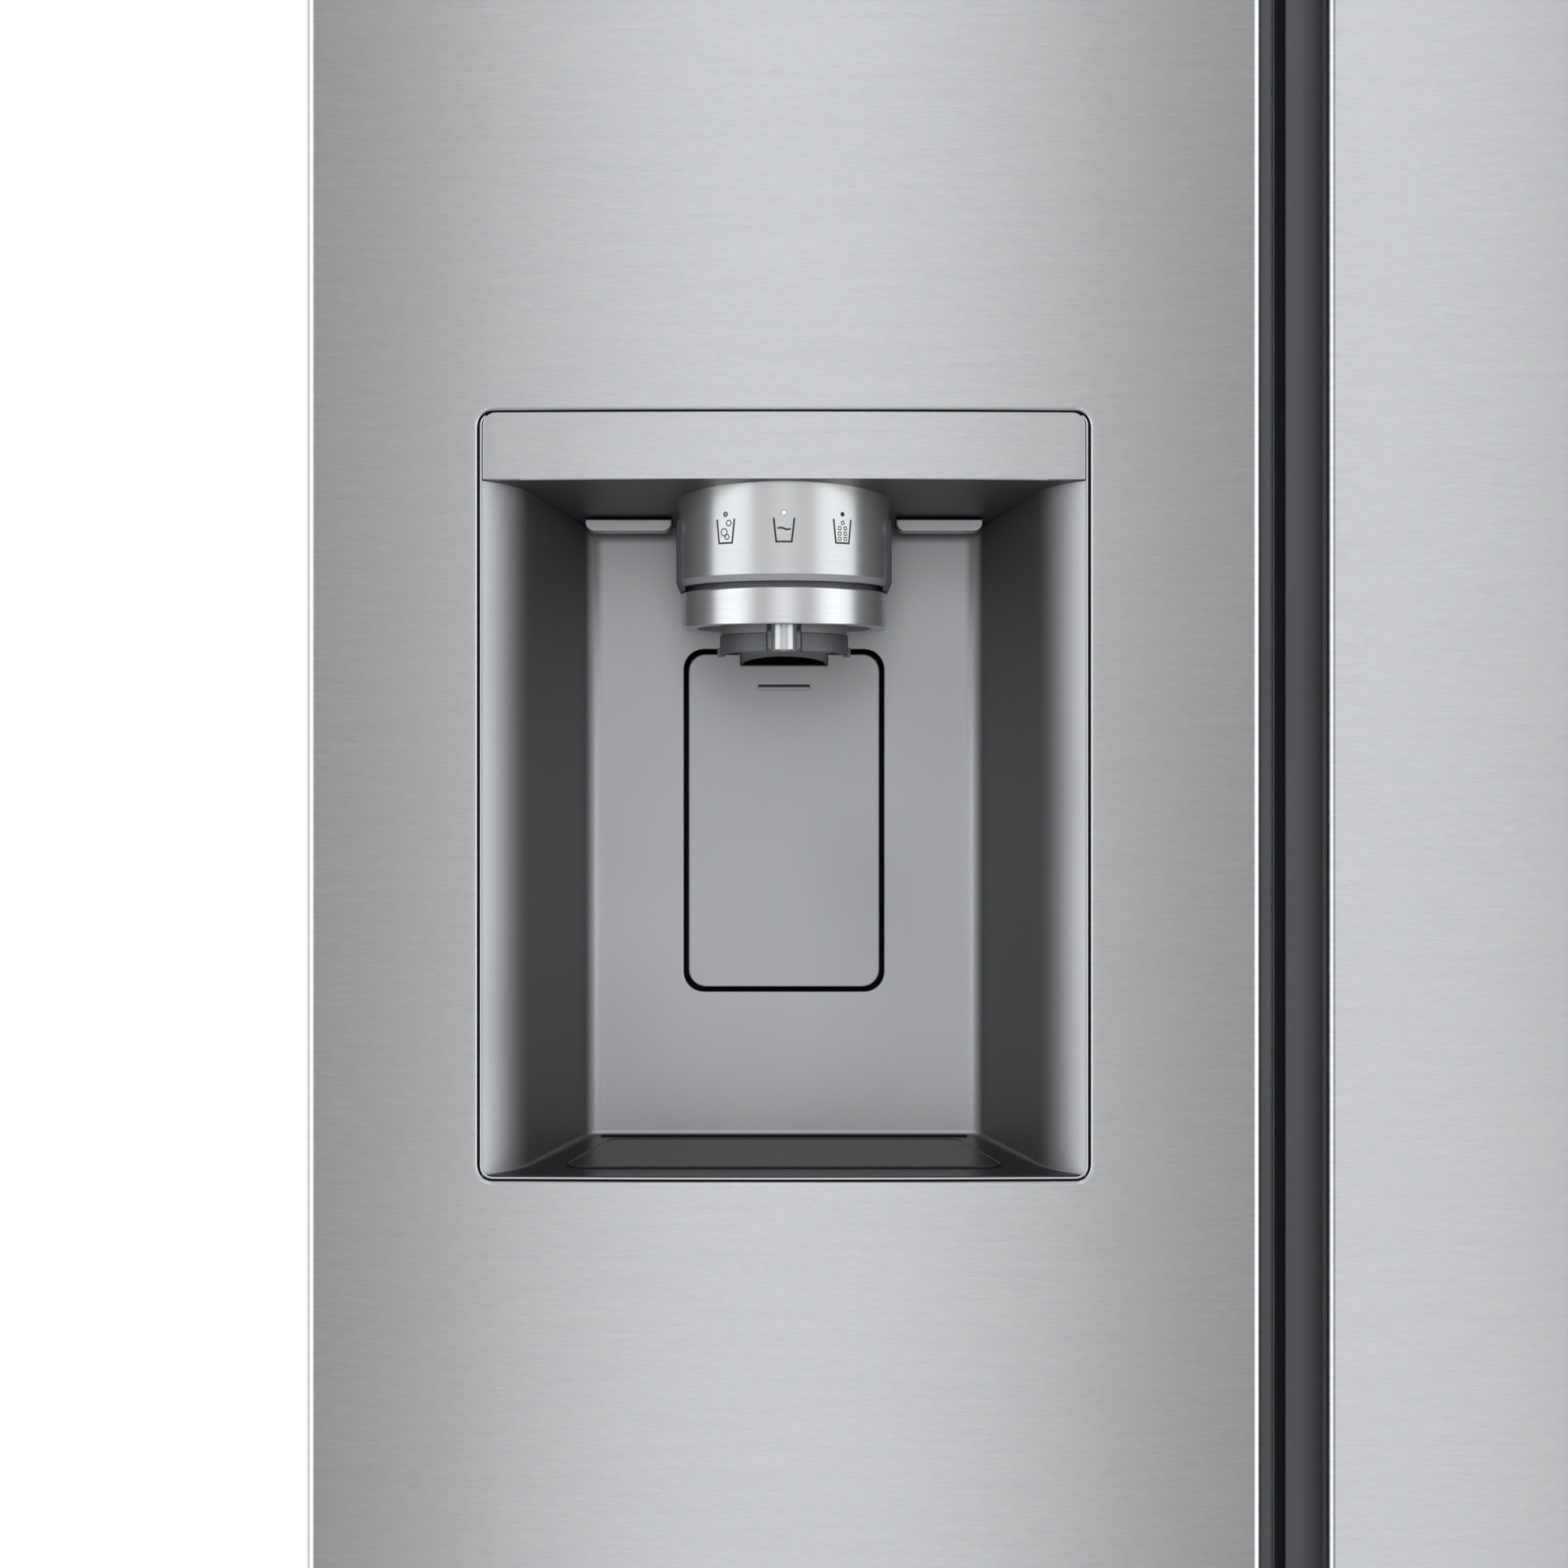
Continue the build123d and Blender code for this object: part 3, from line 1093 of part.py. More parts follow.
NODES = {
    "outer_wrapper": outer_wrapper,
    "cabinet_foam": cabinet_foam,
    "freezer_liner": lambda: liner(FREEZER_ROOM),
    "fridge_liner": lambda: liner(FRIDGE_ROOM),
    "back_panel": back_panel,
    "machine_cover": machine_cover,
    "base_frame": base_frame,
    "compressor": compressor,
    "condenser_coil": condenser_coil,
    "condenser_fan_shroud": condenser_fan_shroud,
    "condenser_fan": condenser_fan,
    "evaporator_coil": evaporator_coil,
    "evaporator_cover": evaporator_cover,
    "evaporator_fan": evaporator_fan,
    "ice_maker": ice_maker,
    "ice_bin": ice_bin,
    "ice_auger": ice_auger,
    "freezer_shelves": lambda: shelves(FREEZER_ROOM),
    "fridge_shelves": lambda: shelves(FRIDGE_ROOM),
    "freezer_drawer_lower": lambda: drawer(FREEZER_ROOM, LOWER_DRAWER, STEP_Y - 10),
    "freezer_drawer_upper": lambda: drawer(FREEZER_ROOM, UPPER_DRAWER, 280.0),
    "crisper_lower": lambda: drawer(FRIDGE_ROOM, LOWER_DRAWER, STEP_Y - 10),
    "crisper_upper": lambda: drawer(FRIDGE_ROOM, UPPER_DRAWER, 310.0),
    "cabinet_lamps": cabinet_lamps,
    "top_hinges": top_hinges,
    "bottom_hinges": bottom_hinges,
    "hinge_covers": hinge_covers,
    "toe_grille": toe_grille,
    "left_levelling_leg": lambda: levelling_leg(-1),
    "right_levelling_leg": lambda: levelling_leg(1),
    "left_roller": lambda: roller(-1),
    "right_roller": lambda: roller(1),
    "roller_axles": roller_axles,
    "water_inlet": water_inlet,
    "power_inlet": power_inlet,
    "freezer_door_skin": freezer_door_skin,
    "freezer_door_foam": freezer_door_foam,
    "freezer_door_liner": freezer_door_liner,
    "freezer_door_gasket": lambda: door_gasket(FREEZER),
    "freezer_door_caps": lambda: door_caps(FREEZER),
    "freezer_handle": lambda: door_handle(FREEZER),
    "freezer_door_bins": lambda: door_bins(FREEZER),
    "dispenser_housing": dispenser_housing,
    "dispenser_fascia": dispenser_fascia,
    "dispenser_lamps": dispenser_lamps,
    "nozzle_housing": nozzle_housing,
    "nozzle_ring": nozzle_ring,
    "ice_funnel": ice_funnel,
    "water_nozzle": water_nozzle,
    "ice_chute": ice_chute,
    "ice_flap": ice_flap,
    "paddle": paddle,
    "drip_tray": drip_tray,
    "fridge_door_skin": lambda: door_skin(FRIDGE),
    "fridge_door_foam": fridge_door_foam,
    "fridge_door_liner": fridge_door_liner,
    "fridge_door_gasket": lambda: door_gasket(FRIDGE),
    "fridge_door_caps": lambda: door_caps(FRIDGE),
    "fridge_handle": lambda: door_handle(FRIDGE),
    "fridge_door_bins": lambda: door_bins(FRIDGE),
}

os.makedirs("parts", exist_ok=True)
for node, make in NODES.items():
    shape = make()
    export_step(shape, f"parts/{node}.step")
print(len(NODES), "nodes written")
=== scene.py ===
import json
import math

import bmesh
import bpy
from mathutils import Matrix, Vector

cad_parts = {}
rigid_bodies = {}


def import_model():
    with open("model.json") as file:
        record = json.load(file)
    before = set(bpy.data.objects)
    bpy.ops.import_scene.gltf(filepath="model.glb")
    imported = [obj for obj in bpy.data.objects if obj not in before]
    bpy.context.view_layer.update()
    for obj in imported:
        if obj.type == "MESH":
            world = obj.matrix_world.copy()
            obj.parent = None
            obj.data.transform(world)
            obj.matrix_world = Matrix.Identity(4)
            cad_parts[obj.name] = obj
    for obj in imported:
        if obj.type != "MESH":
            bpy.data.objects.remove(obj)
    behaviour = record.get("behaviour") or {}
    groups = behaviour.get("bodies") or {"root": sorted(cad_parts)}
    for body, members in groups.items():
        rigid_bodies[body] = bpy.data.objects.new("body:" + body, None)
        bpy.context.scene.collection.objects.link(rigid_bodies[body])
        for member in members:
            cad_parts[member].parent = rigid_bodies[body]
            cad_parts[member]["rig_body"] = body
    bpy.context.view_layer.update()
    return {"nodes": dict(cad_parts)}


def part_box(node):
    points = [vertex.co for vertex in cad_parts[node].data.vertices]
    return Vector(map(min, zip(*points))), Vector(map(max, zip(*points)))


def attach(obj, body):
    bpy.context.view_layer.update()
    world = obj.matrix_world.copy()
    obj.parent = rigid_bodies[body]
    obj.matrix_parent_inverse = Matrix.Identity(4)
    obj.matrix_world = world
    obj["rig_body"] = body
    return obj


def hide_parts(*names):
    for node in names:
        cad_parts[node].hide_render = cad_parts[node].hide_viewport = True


# Side by side refrigerator with an ice and water dispenser in the freezer door.
# Metres, +Z up, the front faces -Y. The part's sizes are written in millimetres times mm.

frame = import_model()
mm = 0.001
mergeDistance = 0.001 * mm
scene = bpy.context.scene


# Small helpers for nodes and finishes

def linear(code):
    parts = [int(code[i:i + 2], 16) / 255 for i in (1, 3, 5)]
    return [p / 12.92 if p <= 0.04045 else ((p + 0.055) / 1.055) ** 2.4 for p in parts] + [1.0]


def addNode(tree, kind, settings=None, values=None, links=None):
    node = tree.nodes.new(kind)
    for name, value in (settings or {}).items():
        setattr(node, name, value)
    for name, value in (values or {}).items():
        node.inputs[name].default_value = value
    for name, source in (links or {}).items():
        tree.links.new(source, node.inputs[name])
    return node


def startFinish(name):
    material = bpy.data.materials.new(name)
    material.use_nodes = True
    tree = material.node_tree
    tree.nodes.clear()
    place = addNode(tree, "ShaderNodeTexCoord").outputs["Object"]
    return material, tree, place


def closeFinish(tree, values, links):
    shader = addNode(tree, "ShaderNodeBsdfPrincipled", values=values, links=links)
    addNode(tree, "ShaderNodeOutputMaterial", links={"Surface": shader.outputs[0]})


# Finishes

def between(ends):
    # The values that a map range ends at.
    return {"To Min": ends[0], "To Max": ends[1]}


firstColour, secondColour, mixedColour = 6, 7, 2  # sockets of a colour mix
noiseRange = {"From Min": 0.3, "From Max": 0.7}  # nearly all of a noise lies in it
reliefDepth = 0.1 * mm
acrossGrain = 0.25  # a quarter turn, so that reflections smear across the strokes

steelFinish = {
    "light": "#d3d5d7", "dark": "#c4c6c9",
    "strokeLength": 6 * mm, "strokeWidth": 0.35 * mm,  # real strokes are near 0.1 mm, drawn coarser to show
    "bandLength": 45 * mm, "bandWidth": 2.5 * mm, "bandShare": 0.2,
    "roughness": (0.37, 0.43), "smear": 0.88, "relief": 0.05,
}


def brushedSteel():
    # Stainless sheet brushed along its width: fine level strokes, and reflections that smear upright.
    f = steelFinish
    material, tree, place = startFinish("brushedStainlessSteel")
    strokes = []
    for length, width, detail in (("strokeLength", "strokeWidth", 3.0), ("bandLength", "bandWidth", 2.0)):
        scale = (1 / f[length], 1 / f[length], 1 / f[width])
        stretch = addNode(tree, "ShaderNodeMapping", values={"Scale": scale}, links={"Vector": place})
        strokes.append(addNode(tree, "ShaderNodeTexNoise", values={"Scale": 1.0, "Detail": detail},
                               links={"Vector": stretch.outputs[0]}).outputs[0])
    both = addNode(tree, "ShaderNodeMix", values={"Factor": f["bandShare"]},
                   links={"A": strokes[0], "B": strokes[1]})
    tone = addNode(tree, "ShaderNodeMapRange", values=noiseRange, links={"Value": both.outputs[0]})
    colour = addNode(tree, "ShaderNodeMix", {"data_type": "RGBA"},
                     {firstColour: linear(f["dark"]), secondColour: linear(f["light"])},
                     {0: tone.outputs[0]})
    rough = addNode(tree, "ShaderNodeMapRange", values=between(f["roughness"]), links={"Value": strokes[0]})
    bump = addNode(tree, "ShaderNodeBump", values={"Strength": f["relief"], "Distance": reliefDepth},
                   links={"Height": strokes[0]})
    grain = addNode(tree, "ShaderNodeTangent", {"direction_type": "RADIAL", "axis": "Z"})
    closeFinish(tree, {"Metallic": 1.0, "Anisotropic": f["smear"], "Anisotropic Rotation": acrossGrain},
                {"Base Color": colour.outputs[mixedColour], "Roughness": rough.outputs[0],
                 "Normal": bump.outputs[0], "Tangent": grain.outputs[0]})
    return material


def platedMetal(name, light, dark, roughness, grit, strokeLength, smear, metal=1.0):
    # Plated metal: bright and even, with a faint haze or turned lines that soften its reflections.
    material, tree, place = startFinish(name)
    scale = (1 / strokeLength, 1 / strokeLength, 1 / grit)
    stretch = addNode(tree, "ShaderNodeMapping", values={"Scale": scale}, links={"Vector": place})
    haze = addNode(tree, "ShaderNodeTexNoise", values={"Scale": 1.0, "Detail": 2.0},
                   links={"Vector": stretch.outputs[0]})
    colour = addNode(tree, "ShaderNodeMix", {"data_type": "RGBA"},
                     {firstColour: linear(dark), secondColour: linear(light)}, {0: haze.outputs[0]})
    rough = addNode(tree, "ShaderNodeMapRange", values=between(roughness), links={"Value": haze.outputs[0]})
    grain = addNode(tree, "ShaderNodeTangent", {"direction_type": "RADIAL", "axis": "Z"})
    closeFinish(tree, {"Metallic": metal, "Anisotropic": smear, "Anisotropic Rotation": acrossGrain},
                {"Base Color": colour.outputs[mixedColour], "Roughness": rough.outputs[0],
                 "Tangent": grain.outputs[0]})
    return material


mouldFinish = {"drift": 90 * mm, "driftShare": 0.4}
# How squarely a face must look to the front to be clear of the painted shade, how fast the painted shade
# darkens faces that look away, and the metal flakes, which thin out with it
shadeAndFlakes = {"shadeFreeFacing": 0.88, "shadeFalloff": 3.3, "flakes": 0.8}


def mouldedPlastic(name, light, dark, grain, roughness, relief, sockets=None, paintedShadeColour=None):
    # Moulded or sprayed surface: a fine even grain from the tool or the paint, and slow drifts of tone.
    # Painted shade: faces that turn away from the front get the darker shade colour and fewer metal flakes.
    material, tree, place = startFinish(name)
    fine = addNode(tree, "ShaderNodeTexNoise", values={"Scale": 1 / grain, "Detail": 2.0},
                   links={"Vector": place})
    drift = addNode(tree, "ShaderNodeTexNoise", values={"Scale": 1 / mouldFinish["drift"], "Detail": 1.0},
                    links={"Vector": place})
    both = addNode(tree, "ShaderNodeMix", values={"Factor": mouldFinish["driftShare"]},
                   links={"A": fine.outputs[0], "B": drift.outputs[0]})
    tone = addNode(tree, "ShaderNodeMapRange", values=noiseRange, links={"Value": both.outputs[0]})
    colour = addNode(tree, "ShaderNodeMix", {"data_type": "RGBA"},
                     {firstColour: linear(dark), secondColour: linear(light)}, {0: tone.outputs[0]})
    rough = addNode(tree, "ShaderNodeMapRange", values=between(roughness), links={"Value": fine.outputs[0]})
    bump = addNode(tree, "ShaderNodeBump", values={"Strength": relief, "Distance": reliefDepth},
                   links={"Height": fine.outputs[0]})
    links = {"Base Color": colour.outputs[mixedColour], "Roughness": rough.outputs[0],
             "Normal": bump.outputs[0]}
    # Painted shade: the colour darkens towards the shade colour as a face turns away from the front
    if paintedShadeColour:
        paintedShadeFacing = addNode(tree, "ShaderNodeAttribute", {"attribute_name": "paintedShadeFacing"})
        facing = addNode(tree, "ShaderNodeMapRange", values={"From Max": shadeAndFlakes["shadeFreeFacing"]},
                         links={"Value": paintedShadeFacing.outputs["Fac"]})
        cover = addNode(tree, "ShaderNodeMath", {"operation": "POWER"}, {1: shadeAndFlakes["shadeFalloff"]},
                        {0: facing.outputs[0]})
        flake = addNode(tree, "ShaderNodeMath", {"operation": "MULTIPLY"}, {1: shadeAndFlakes["flakes"]},
                        {0: cover.outputs[0]})
        shown = addNode(tree, "ShaderNodeMix", {"data_type": "RGBA"}, {firstColour: linear(paintedShadeColour)},
                        {0: cover.outputs[0], secondColour: colour.outputs[mixedColour]})
        links.update({"Base Color": shown.outputs[mixedColour], "Metallic": flake.outputs[0]})
    closeFinish(tree, sockets or {}, links)
    return material


zincFinish = {
    "light": "#b7babb", "dark": "#9a9d9f", "crystal": 14 * mm, "roughness": (0.42, 0.58), "metal": 0.85,
}


def galvanisedSheet():
    # Hot-dip zinc: a patchwork of crystals, each a slightly different grey and gloss.
    f = zincFinish
    material, tree, place = startFinish("galvanisedSheetSteel")
    spangle = addNode(tree, "ShaderNodeTexVoronoi", values={"Scale": 1 / f["crystal"]},
                      links={"Vector": place})
    split = addNode(tree, "ShaderNodeSeparateColor", links={"Color": spangle.outputs["Color"]})
    colour = addNode(tree, "ShaderNodeMix", {"data_type": "RGBA"},
                     {firstColour: linear(f["dark"]), secondColour: linear(f["light"])},
                     {0: split.outputs[0]})
    rough = addNode(tree, "ShaderNodeMapRange", values=between(f["roughness"]),
                    links={"Value": split.outputs[1]})
    closeFinish(tree, {"Metallic": f["metal"]},
                {"Base Color": colour.outputs[mixedColour], "Roughness": rough.outputs[0]})
    return material


clearFinish = {"ripple": 35 * mm, "relief": 0.03, "reliefDepth": 0.2 * mm}


def clearSheet(name, tint, roughness, density):
    # Clear plastic or glass: see-through, bright edges, faint ripples left by the mould or the rollers.
    f = clearFinish
    material, tree, place = startFinish(name)
    ripple = addNode(tree, "ShaderNodeTexNoise", values={"Scale": 1 / f["ripple"], "Detail": 1.0},
                     links={"Vector": place})
    rough = addNode(tree, "ShaderNodeMapRange", values=between(roughness), links={"Value": ripple.outputs[0]})
    bump = addNode(tree, "ShaderNodeBump", values={"Strength": f["relief"], "Distance": f["reliefDepth"]},
                   links={"Height": ripple.outputs[0]})
    closeFinish(tree, {"Base Color": linear(tint), "Transmission Weight": 1.0, "IOR": density},
                {"Roughness": rough.outputs[0], "Normal": bump.outputs[0]})
    return material


lensFinish = {"frost": 0.8 * mm, "roughness": (0.30, 0.42)}


def frostedLens(name, colour, glow, foil=0.0):
    # Frosted lens over a lamp: milky, with the foil or the light behind it just showing through.
    f = lensFinish
    material, tree, place = startFinish(name)
    frost = addNode(tree, "ShaderNodeTexNoise", values={"Scale": 1 / f["frost"], "Detail": 2.0},
                    links={"Vector": place})
    rough = addNode(tree, "ShaderNodeMapRange", values=between(f["roughness"]),
                    links={"Value": frost.outputs[0]})
    closeFinish(tree, {"Base Color": linear(colour), "Metallic": foil,
                       "Emission Color": linear(colour), "Emission Strength": glow},
                {"Roughness": rough.outputs[0]})
    return material


# Plated metal: light, dark, roughness, width and length of its strokes, smear, metal.
# Moulded plastic: light, dark, grain, roughness, relief, fixed sockets, painted shade colour for faces that
# look away from the front.
# Clear sheet: tint, roughness, index of refraction. Frosted lens: colour, glow, foil behind it.
steel = brushedSteel()
chrome = platedMetal("satinChromePlating", "#d0d2d4", "#c8cacc", (0.20, 0.26), 1.2 * mm, 30 * mm, 0.0, 0.82)
ringMetal = platedMetal("turnedChromeRing", "#dcdee0", "#c2c4c7", (0.26, 0.36), 0.6 * mm, 30 * mm, 0.5,
                        0.82)
darkMetal = platedMetal("drawnSteel", "#8f9295", "#7d8083", (0.30, 0.40), 0.6 * mm, 20 * mm, 0.3)
copperTube = platedMetal("drawnCopperTube", "#c98258", "#a8643f", (0.28, 0.42), 4 * mm, 40 * mm, 0.2)
finMetal = platedMetal("rolledAluminium", "#c9ccce", "#b4b7b9", (0.28, 0.38), 2 * mm, 60 * mm, 0.3)
zinc = galvanisedSheet()
casePaint = mouldedPlastic("texturedCasePaint", "#8b8d90", "#838588", 1.6 * mm, (0.42, 0.52), 0.25)
enamel = mouldedPlastic("blackEnamelledSteel", "#1d1e20", "#141517", 2.5 * mm, (0.22, 0.32), 0.05)
darkPlastic = mouldedPlastic("darkAbsTrim", "#4b4d50", "#434548", 0.7 * mm, (0.45, 0.58), 0.15)
# Recess lacquer; its last colour is the painted shade on the side walls that look away from the front
recessPaint = mouldedPlastic("silverLacquerWithPaintedShade", "#bfc1c4", "#a9abae", 0.5 * mm, (0.45, 0.55), 0.04,
                             {"Specular IOR Level": 0.65}, "#2e3033")
# Paddle lacquer; its last colour is painted shade on faces that look away from the front
paddlePaint = mouldedPlastic("silverPaddleLacquerWithPaintedShade", "#bcbec1", "#a6a8ab", 0.5 * mm, (0.45, 0.55), 0.04,
                             {"Specular IOR Level": 0.1}, "#4e5053")
rimFoil = platedMetal("brightRimFoil", "#d0d2d4", "#c2c4c7", (0.28, 0.36), 0.8 * mm, 25 * mm, 0.0)
bareAbs = mouldedPlastic("bareGreyAbs", "#36383b", "#2e3033", 0.6 * mm, (0.45, 0.58), 0.10,
                         {"Specular IOR Level": 0.2})
shieldAbs = mouldedPlastic("greyShieldAbs", "#85878a", "#7b7d80", 0.6 * mm, (0.45, 0.58), 0.10)
# Near-black painted shade for the inside of the paddle's pocket
pocketShade = mouldedPlastic("pocketPaintedShade", "#1b1c1e", "#151617", 0.8 * mm, (0.50, 0.62), 0.10,
                          {"Specular IOR Level": 0.1})
sealFoam = mouldedPlastic("blackFoamSeal", "#0d0e0f", "#08090a", 0.5 * mm, (0.75, 0.9), 0.2,
                          {"Specular IOR Level": 0.05})
nozzlePlastic = mouldedPlastic("blackGrainedAbs", "#5c5e61", "#34363a", 0.8 * mm, (0.40, 0.55), 0.6)
trayPlastic = mouldedPlastic("graphiteGlossAbs", "#27292c", "#222427", 0.6 * mm, (0.30, 0.38), 0.03,
                             {"Specular IOR Level": 0.2})
linerPlastic = mouldedPlastic("whiteVacuumFormedHips", "#eceeef", "#e4e6e8", 2.0 * mm, (0.28, 0.38), 0.04)
gasketVinyl = mouldedPlastic("greyGasketVinyl", "#8d8f91", "#818386", 1.0 * mm, (0.50, 0.62), 0.10)
foamCore = mouldedPlastic("blownPolyurethaneFoam", "#e4d7ab", "#d2c391", 2.2 * mm, (0.85, 0.95), 0.6)
wheelNylon = mouldedPlastic("whiteNylonWheel", "#c9cbc8", "#b9bbb8", 1.0 * mm, (0.45, 0.55), 0.10)
fanPlastic = mouldedPlastic("greyFanPlastic", "#5d6063", "#525558", 0.8 * mm, (0.40, 0.50), 0.08)
icePlastic = mouldedPlastic("milkyIcePlastic", "#dfe5e9", "#d3dade", 1.5 * mm, (0.30, 0.40), 0.05,
                            {"Transmission Weight": 0.25, "IOR": 1.50})
trimPlastic = mouldedPlastic("paleGreyTrim", "#c4c8cb", "#b9bdc0", 0.9 * mm, (0.35, 0.45), 0.06)
markInk = mouldedPlastic("printedMarkInk", "#151618", "#0f1011", 0.4 * mm, (0.45, 0.55), 0.02)
greyInk = mouldedPlastic("greyLampWindow", "#7d7f82", "#6b6d70", 0.4 * mm, (0.30, 0.40), 0.02)
clearPlastic = clearSheet("clearStyrene", "#f3f8fa", (0.03, 0.07), 1.57)
shelfGlass = clearSheet("toughenedFloatGlass", "#e9f4ef", (0.01, 0.03), 1.52)
lampLens = frostedLens("frostedLampLens", "#a6a8ab", 0.0, 0.6)
roomLens = frostedLens("frostedRoomLens", "#e6e8ea", 0.15)
litDot = frostedLens("litLampDot", "#f4f6f8", 0.55)
print("finishes ready:", len(bpy.data.materials))


# Mesh helpers

def strip(bm, rows, closed=False):
    # Quads between rows of vertices; each row runs along the surface.
    for first, second in zip(rows, rows[1:]):
        count = len(first)
        for i in range(count if closed else count - 1):
            j = (i + 1) % count
            bm.faces.new((first[i], first[j], second[j], second[i]))


def makeRow(bm, points):
    return [bm.verts.new(p) for p in points]


def makeRowGroup():
    # Repeats a unit along one direction and again along a second one. Each can be turned at random.
    group = bpy.data.node_groups.new("rows", "GeometryNodeTree")
    sockets = (("Unit", "Geometry"), ("Start", "Vector"), ("Step", "Vector"), ("Count", "Int"),
               ("Cross Step", "Vector"), ("Cross Count", "Int"), ("Turn", "Vector"), ("Material", "Material"))
    for name, kind in sockets:
        group.interface.new_socket(name, in_out="INPUT", socket_type="NodeSocket" + kind)
    group.interface.new_socket("Rows", in_out="OUTPUT", socket_type="NodeSocketGeometry")
    given = addNode(group, "NodeGroupInput").outputs
    line = addNode(group, "GeometryNodeMeshLine", {"mode": "OFFSET"}, links={
        "Count": given["Count"], "Start Location": given["Start"], "Offset": given["Step"]})
    cross = addNode(group, "GeometryNodeMeshLine", {"mode": "OFFSET"}, links={
        "Count": given["Cross Count"], "Offset": given["Cross Step"]})
    field = addNode(group, "GeometryNodeInstanceOnPoints",
                    links={"Points": line.outputs[0], "Instance": cross.outputs[0]})
    points = addNode(group, "GeometryNodeRealizeInstances", links={"Geometry": field.outputs[0]})
    turn = addNode(group, "FunctionNodeRandomValue", {"data_type": "FLOAT_VECTOR"},
                   {"Min": (0, 0, 0), "Seed": 7}, {"Max": given["Turn"]})
    units = addNode(group, "GeometryNodeInstanceOnPoints", links={
        "Points": points.outputs[0], "Instance": given["Unit"], "Rotation": turn.outputs[0]})
    whole = addNode(group, "GeometryNodeRealizeInstances", links={"Geometry": units.outputs[0]})
    coated = addNode(group, "GeometryNodeSetMaterial",
                     links={"Geometry": whole.outputs[0], "Material": given["Material"]})
    addNode(group, "NodeGroupOutput", links={"Rows": coated.outputs[0]})
    return group


rowGroup = makeRowGroup()


def addPiece(name, bm, finish, body, replaced=(), smooth=34, sheet=0.0, rows=None):
    # A sheet gets its thickness on the side away from its faces, and rows repeat the piece. Wide faces keep
    # their own direction, so that a rolled edge doesn't bend the light on the face beside it.
    bmesh.ops.remove_doubles(bm, verts=bm.verts, dist=mergeDistance)
    mesh = bpy.data.meshes.new(name)
    bm.to_mesh(mesh)
    bm.free()
    piece = bpy.data.objects.new(name, mesh)
    scene.collection.objects.link(piece)
    if sheet:
        wallModifier = piece.modifiers.new("sheet", "SOLIDIFY")
        wallModifier.thickness = sheet
        wallModifier.offset = -1
        settle(piece)
    if rows:
        repeat = piece.modifiers.new("rows", "NODES")
        repeat.node_group = rowGroup
        sockets = {item.name: item.identifier for item in rowGroup.interface.items_tree}
        for socket, value in {**rows, "Material": finish}.items():
            repeat[sockets[socket]] = value
        settle(piece)
    piece.data.materials.clear()
    piece.data.materials.append(finish)
    piece.data.shade_smooth()
    piece.data.set_sharp_from_angle(angle=math.radians(smooth))
    piece.modifiers.new("steadyNormals", "WEIGHTED_NORMAL").keep_sharp = True
    settle(piece)
    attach(piece, body)
    if replaced:
        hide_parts(*replaced)
    return piece


def settle(piece):
    shape = piece.evaluated_get(bpy.context.evaluated_depsgraph_get())
    mesh = bpy.data.meshes.new_from_object(shape)
    old = piece.data
    piece.modifiers.clear()
    piece.data = mesh
    bpy.data.meshes.remove(old)
    mesh.name = piece.name


def paintFacingShade(piece):
    # How squarely each face looks to the front, which sets the painted shade on it.
    paintedShadeFacing = piece.data.attributes.new("paintedShadeFacing", "FLOAT", "CORNER")
    paintedShadeFacing.data.foreach_set("value", [max(0.0, -normal.vector.y) for normal in piece.data.corner_normals])


def loopNormals(points, mitreLimit=-0.6):
    # Mitred normals on the left of a closed outline, so that an offset keeps its walls parallel.
    normals = []
    for i, point in enumerate(points):
        before = (point - points[i - 1]).normalized()
        after = (points[(i + 1) % len(points)] - point).normalized()
        sides = [Vector((-d.y, d.x)) for d in (before, after)]
        normals.append((sides[0] + sides[1]) / (1 + max(mitreLimit, sides[0].dot(sides[1]))))
    return normals


def roll(bm, loop, inward, radius, depth, steps=5):
    # Rolls the edge of a front sheet back from the front: a quarter round, then straight to depth.
    normals = loopNormals([Vector((v.co.x, v.co.z)) for v in loop])
    side = 1 if inward else -1
    stops = [(radius * math.sin(a), radius * (1 - math.cos(a)))
             for a in (math.pi / 2 * k / steps for k in range(1, steps + 1))]
    rows = [loop]
    for out, back in stops + [(radius, depth)]:
        rows.append(makeRow(bm, [v.co + Vector((side * n.x * out, back, side * n.y * out))
                                 for v, n in zip(loop, normals)]))
    for first, second in zip(rows, rows[1:]):
        for i in range(len(loop)):
            j = (i + 1) % len(loop)
            corners = (first[i], second[i], second[j], first[j])
            bm.faces.new(corners[::-1] if inward else corners)
    return rows[-1]


def cornerDrop(over, radius):
    # How far a round corner falls away, past the end of the straight edge.
    over = min(max(over, 0.0), radius)
    return radius - math.sqrt(radius ** 2 - over ** 2)


def cornerColumns(centre, half, radius, steps=7):
    reach = [half - radius + radius * math.sin(math.pi / 2 * k / steps) for k in range(steps + 1)]
    return [centre + side * r for side in (-1, 1) for r in reach]


def holeSpan(hole, x):
    drop = cornerDrop(abs(x - hole["x"]) - (hole["half"] - hole["radius"]), hole["radius"])
    return hole["low"] + drop, hole["high"] - drop


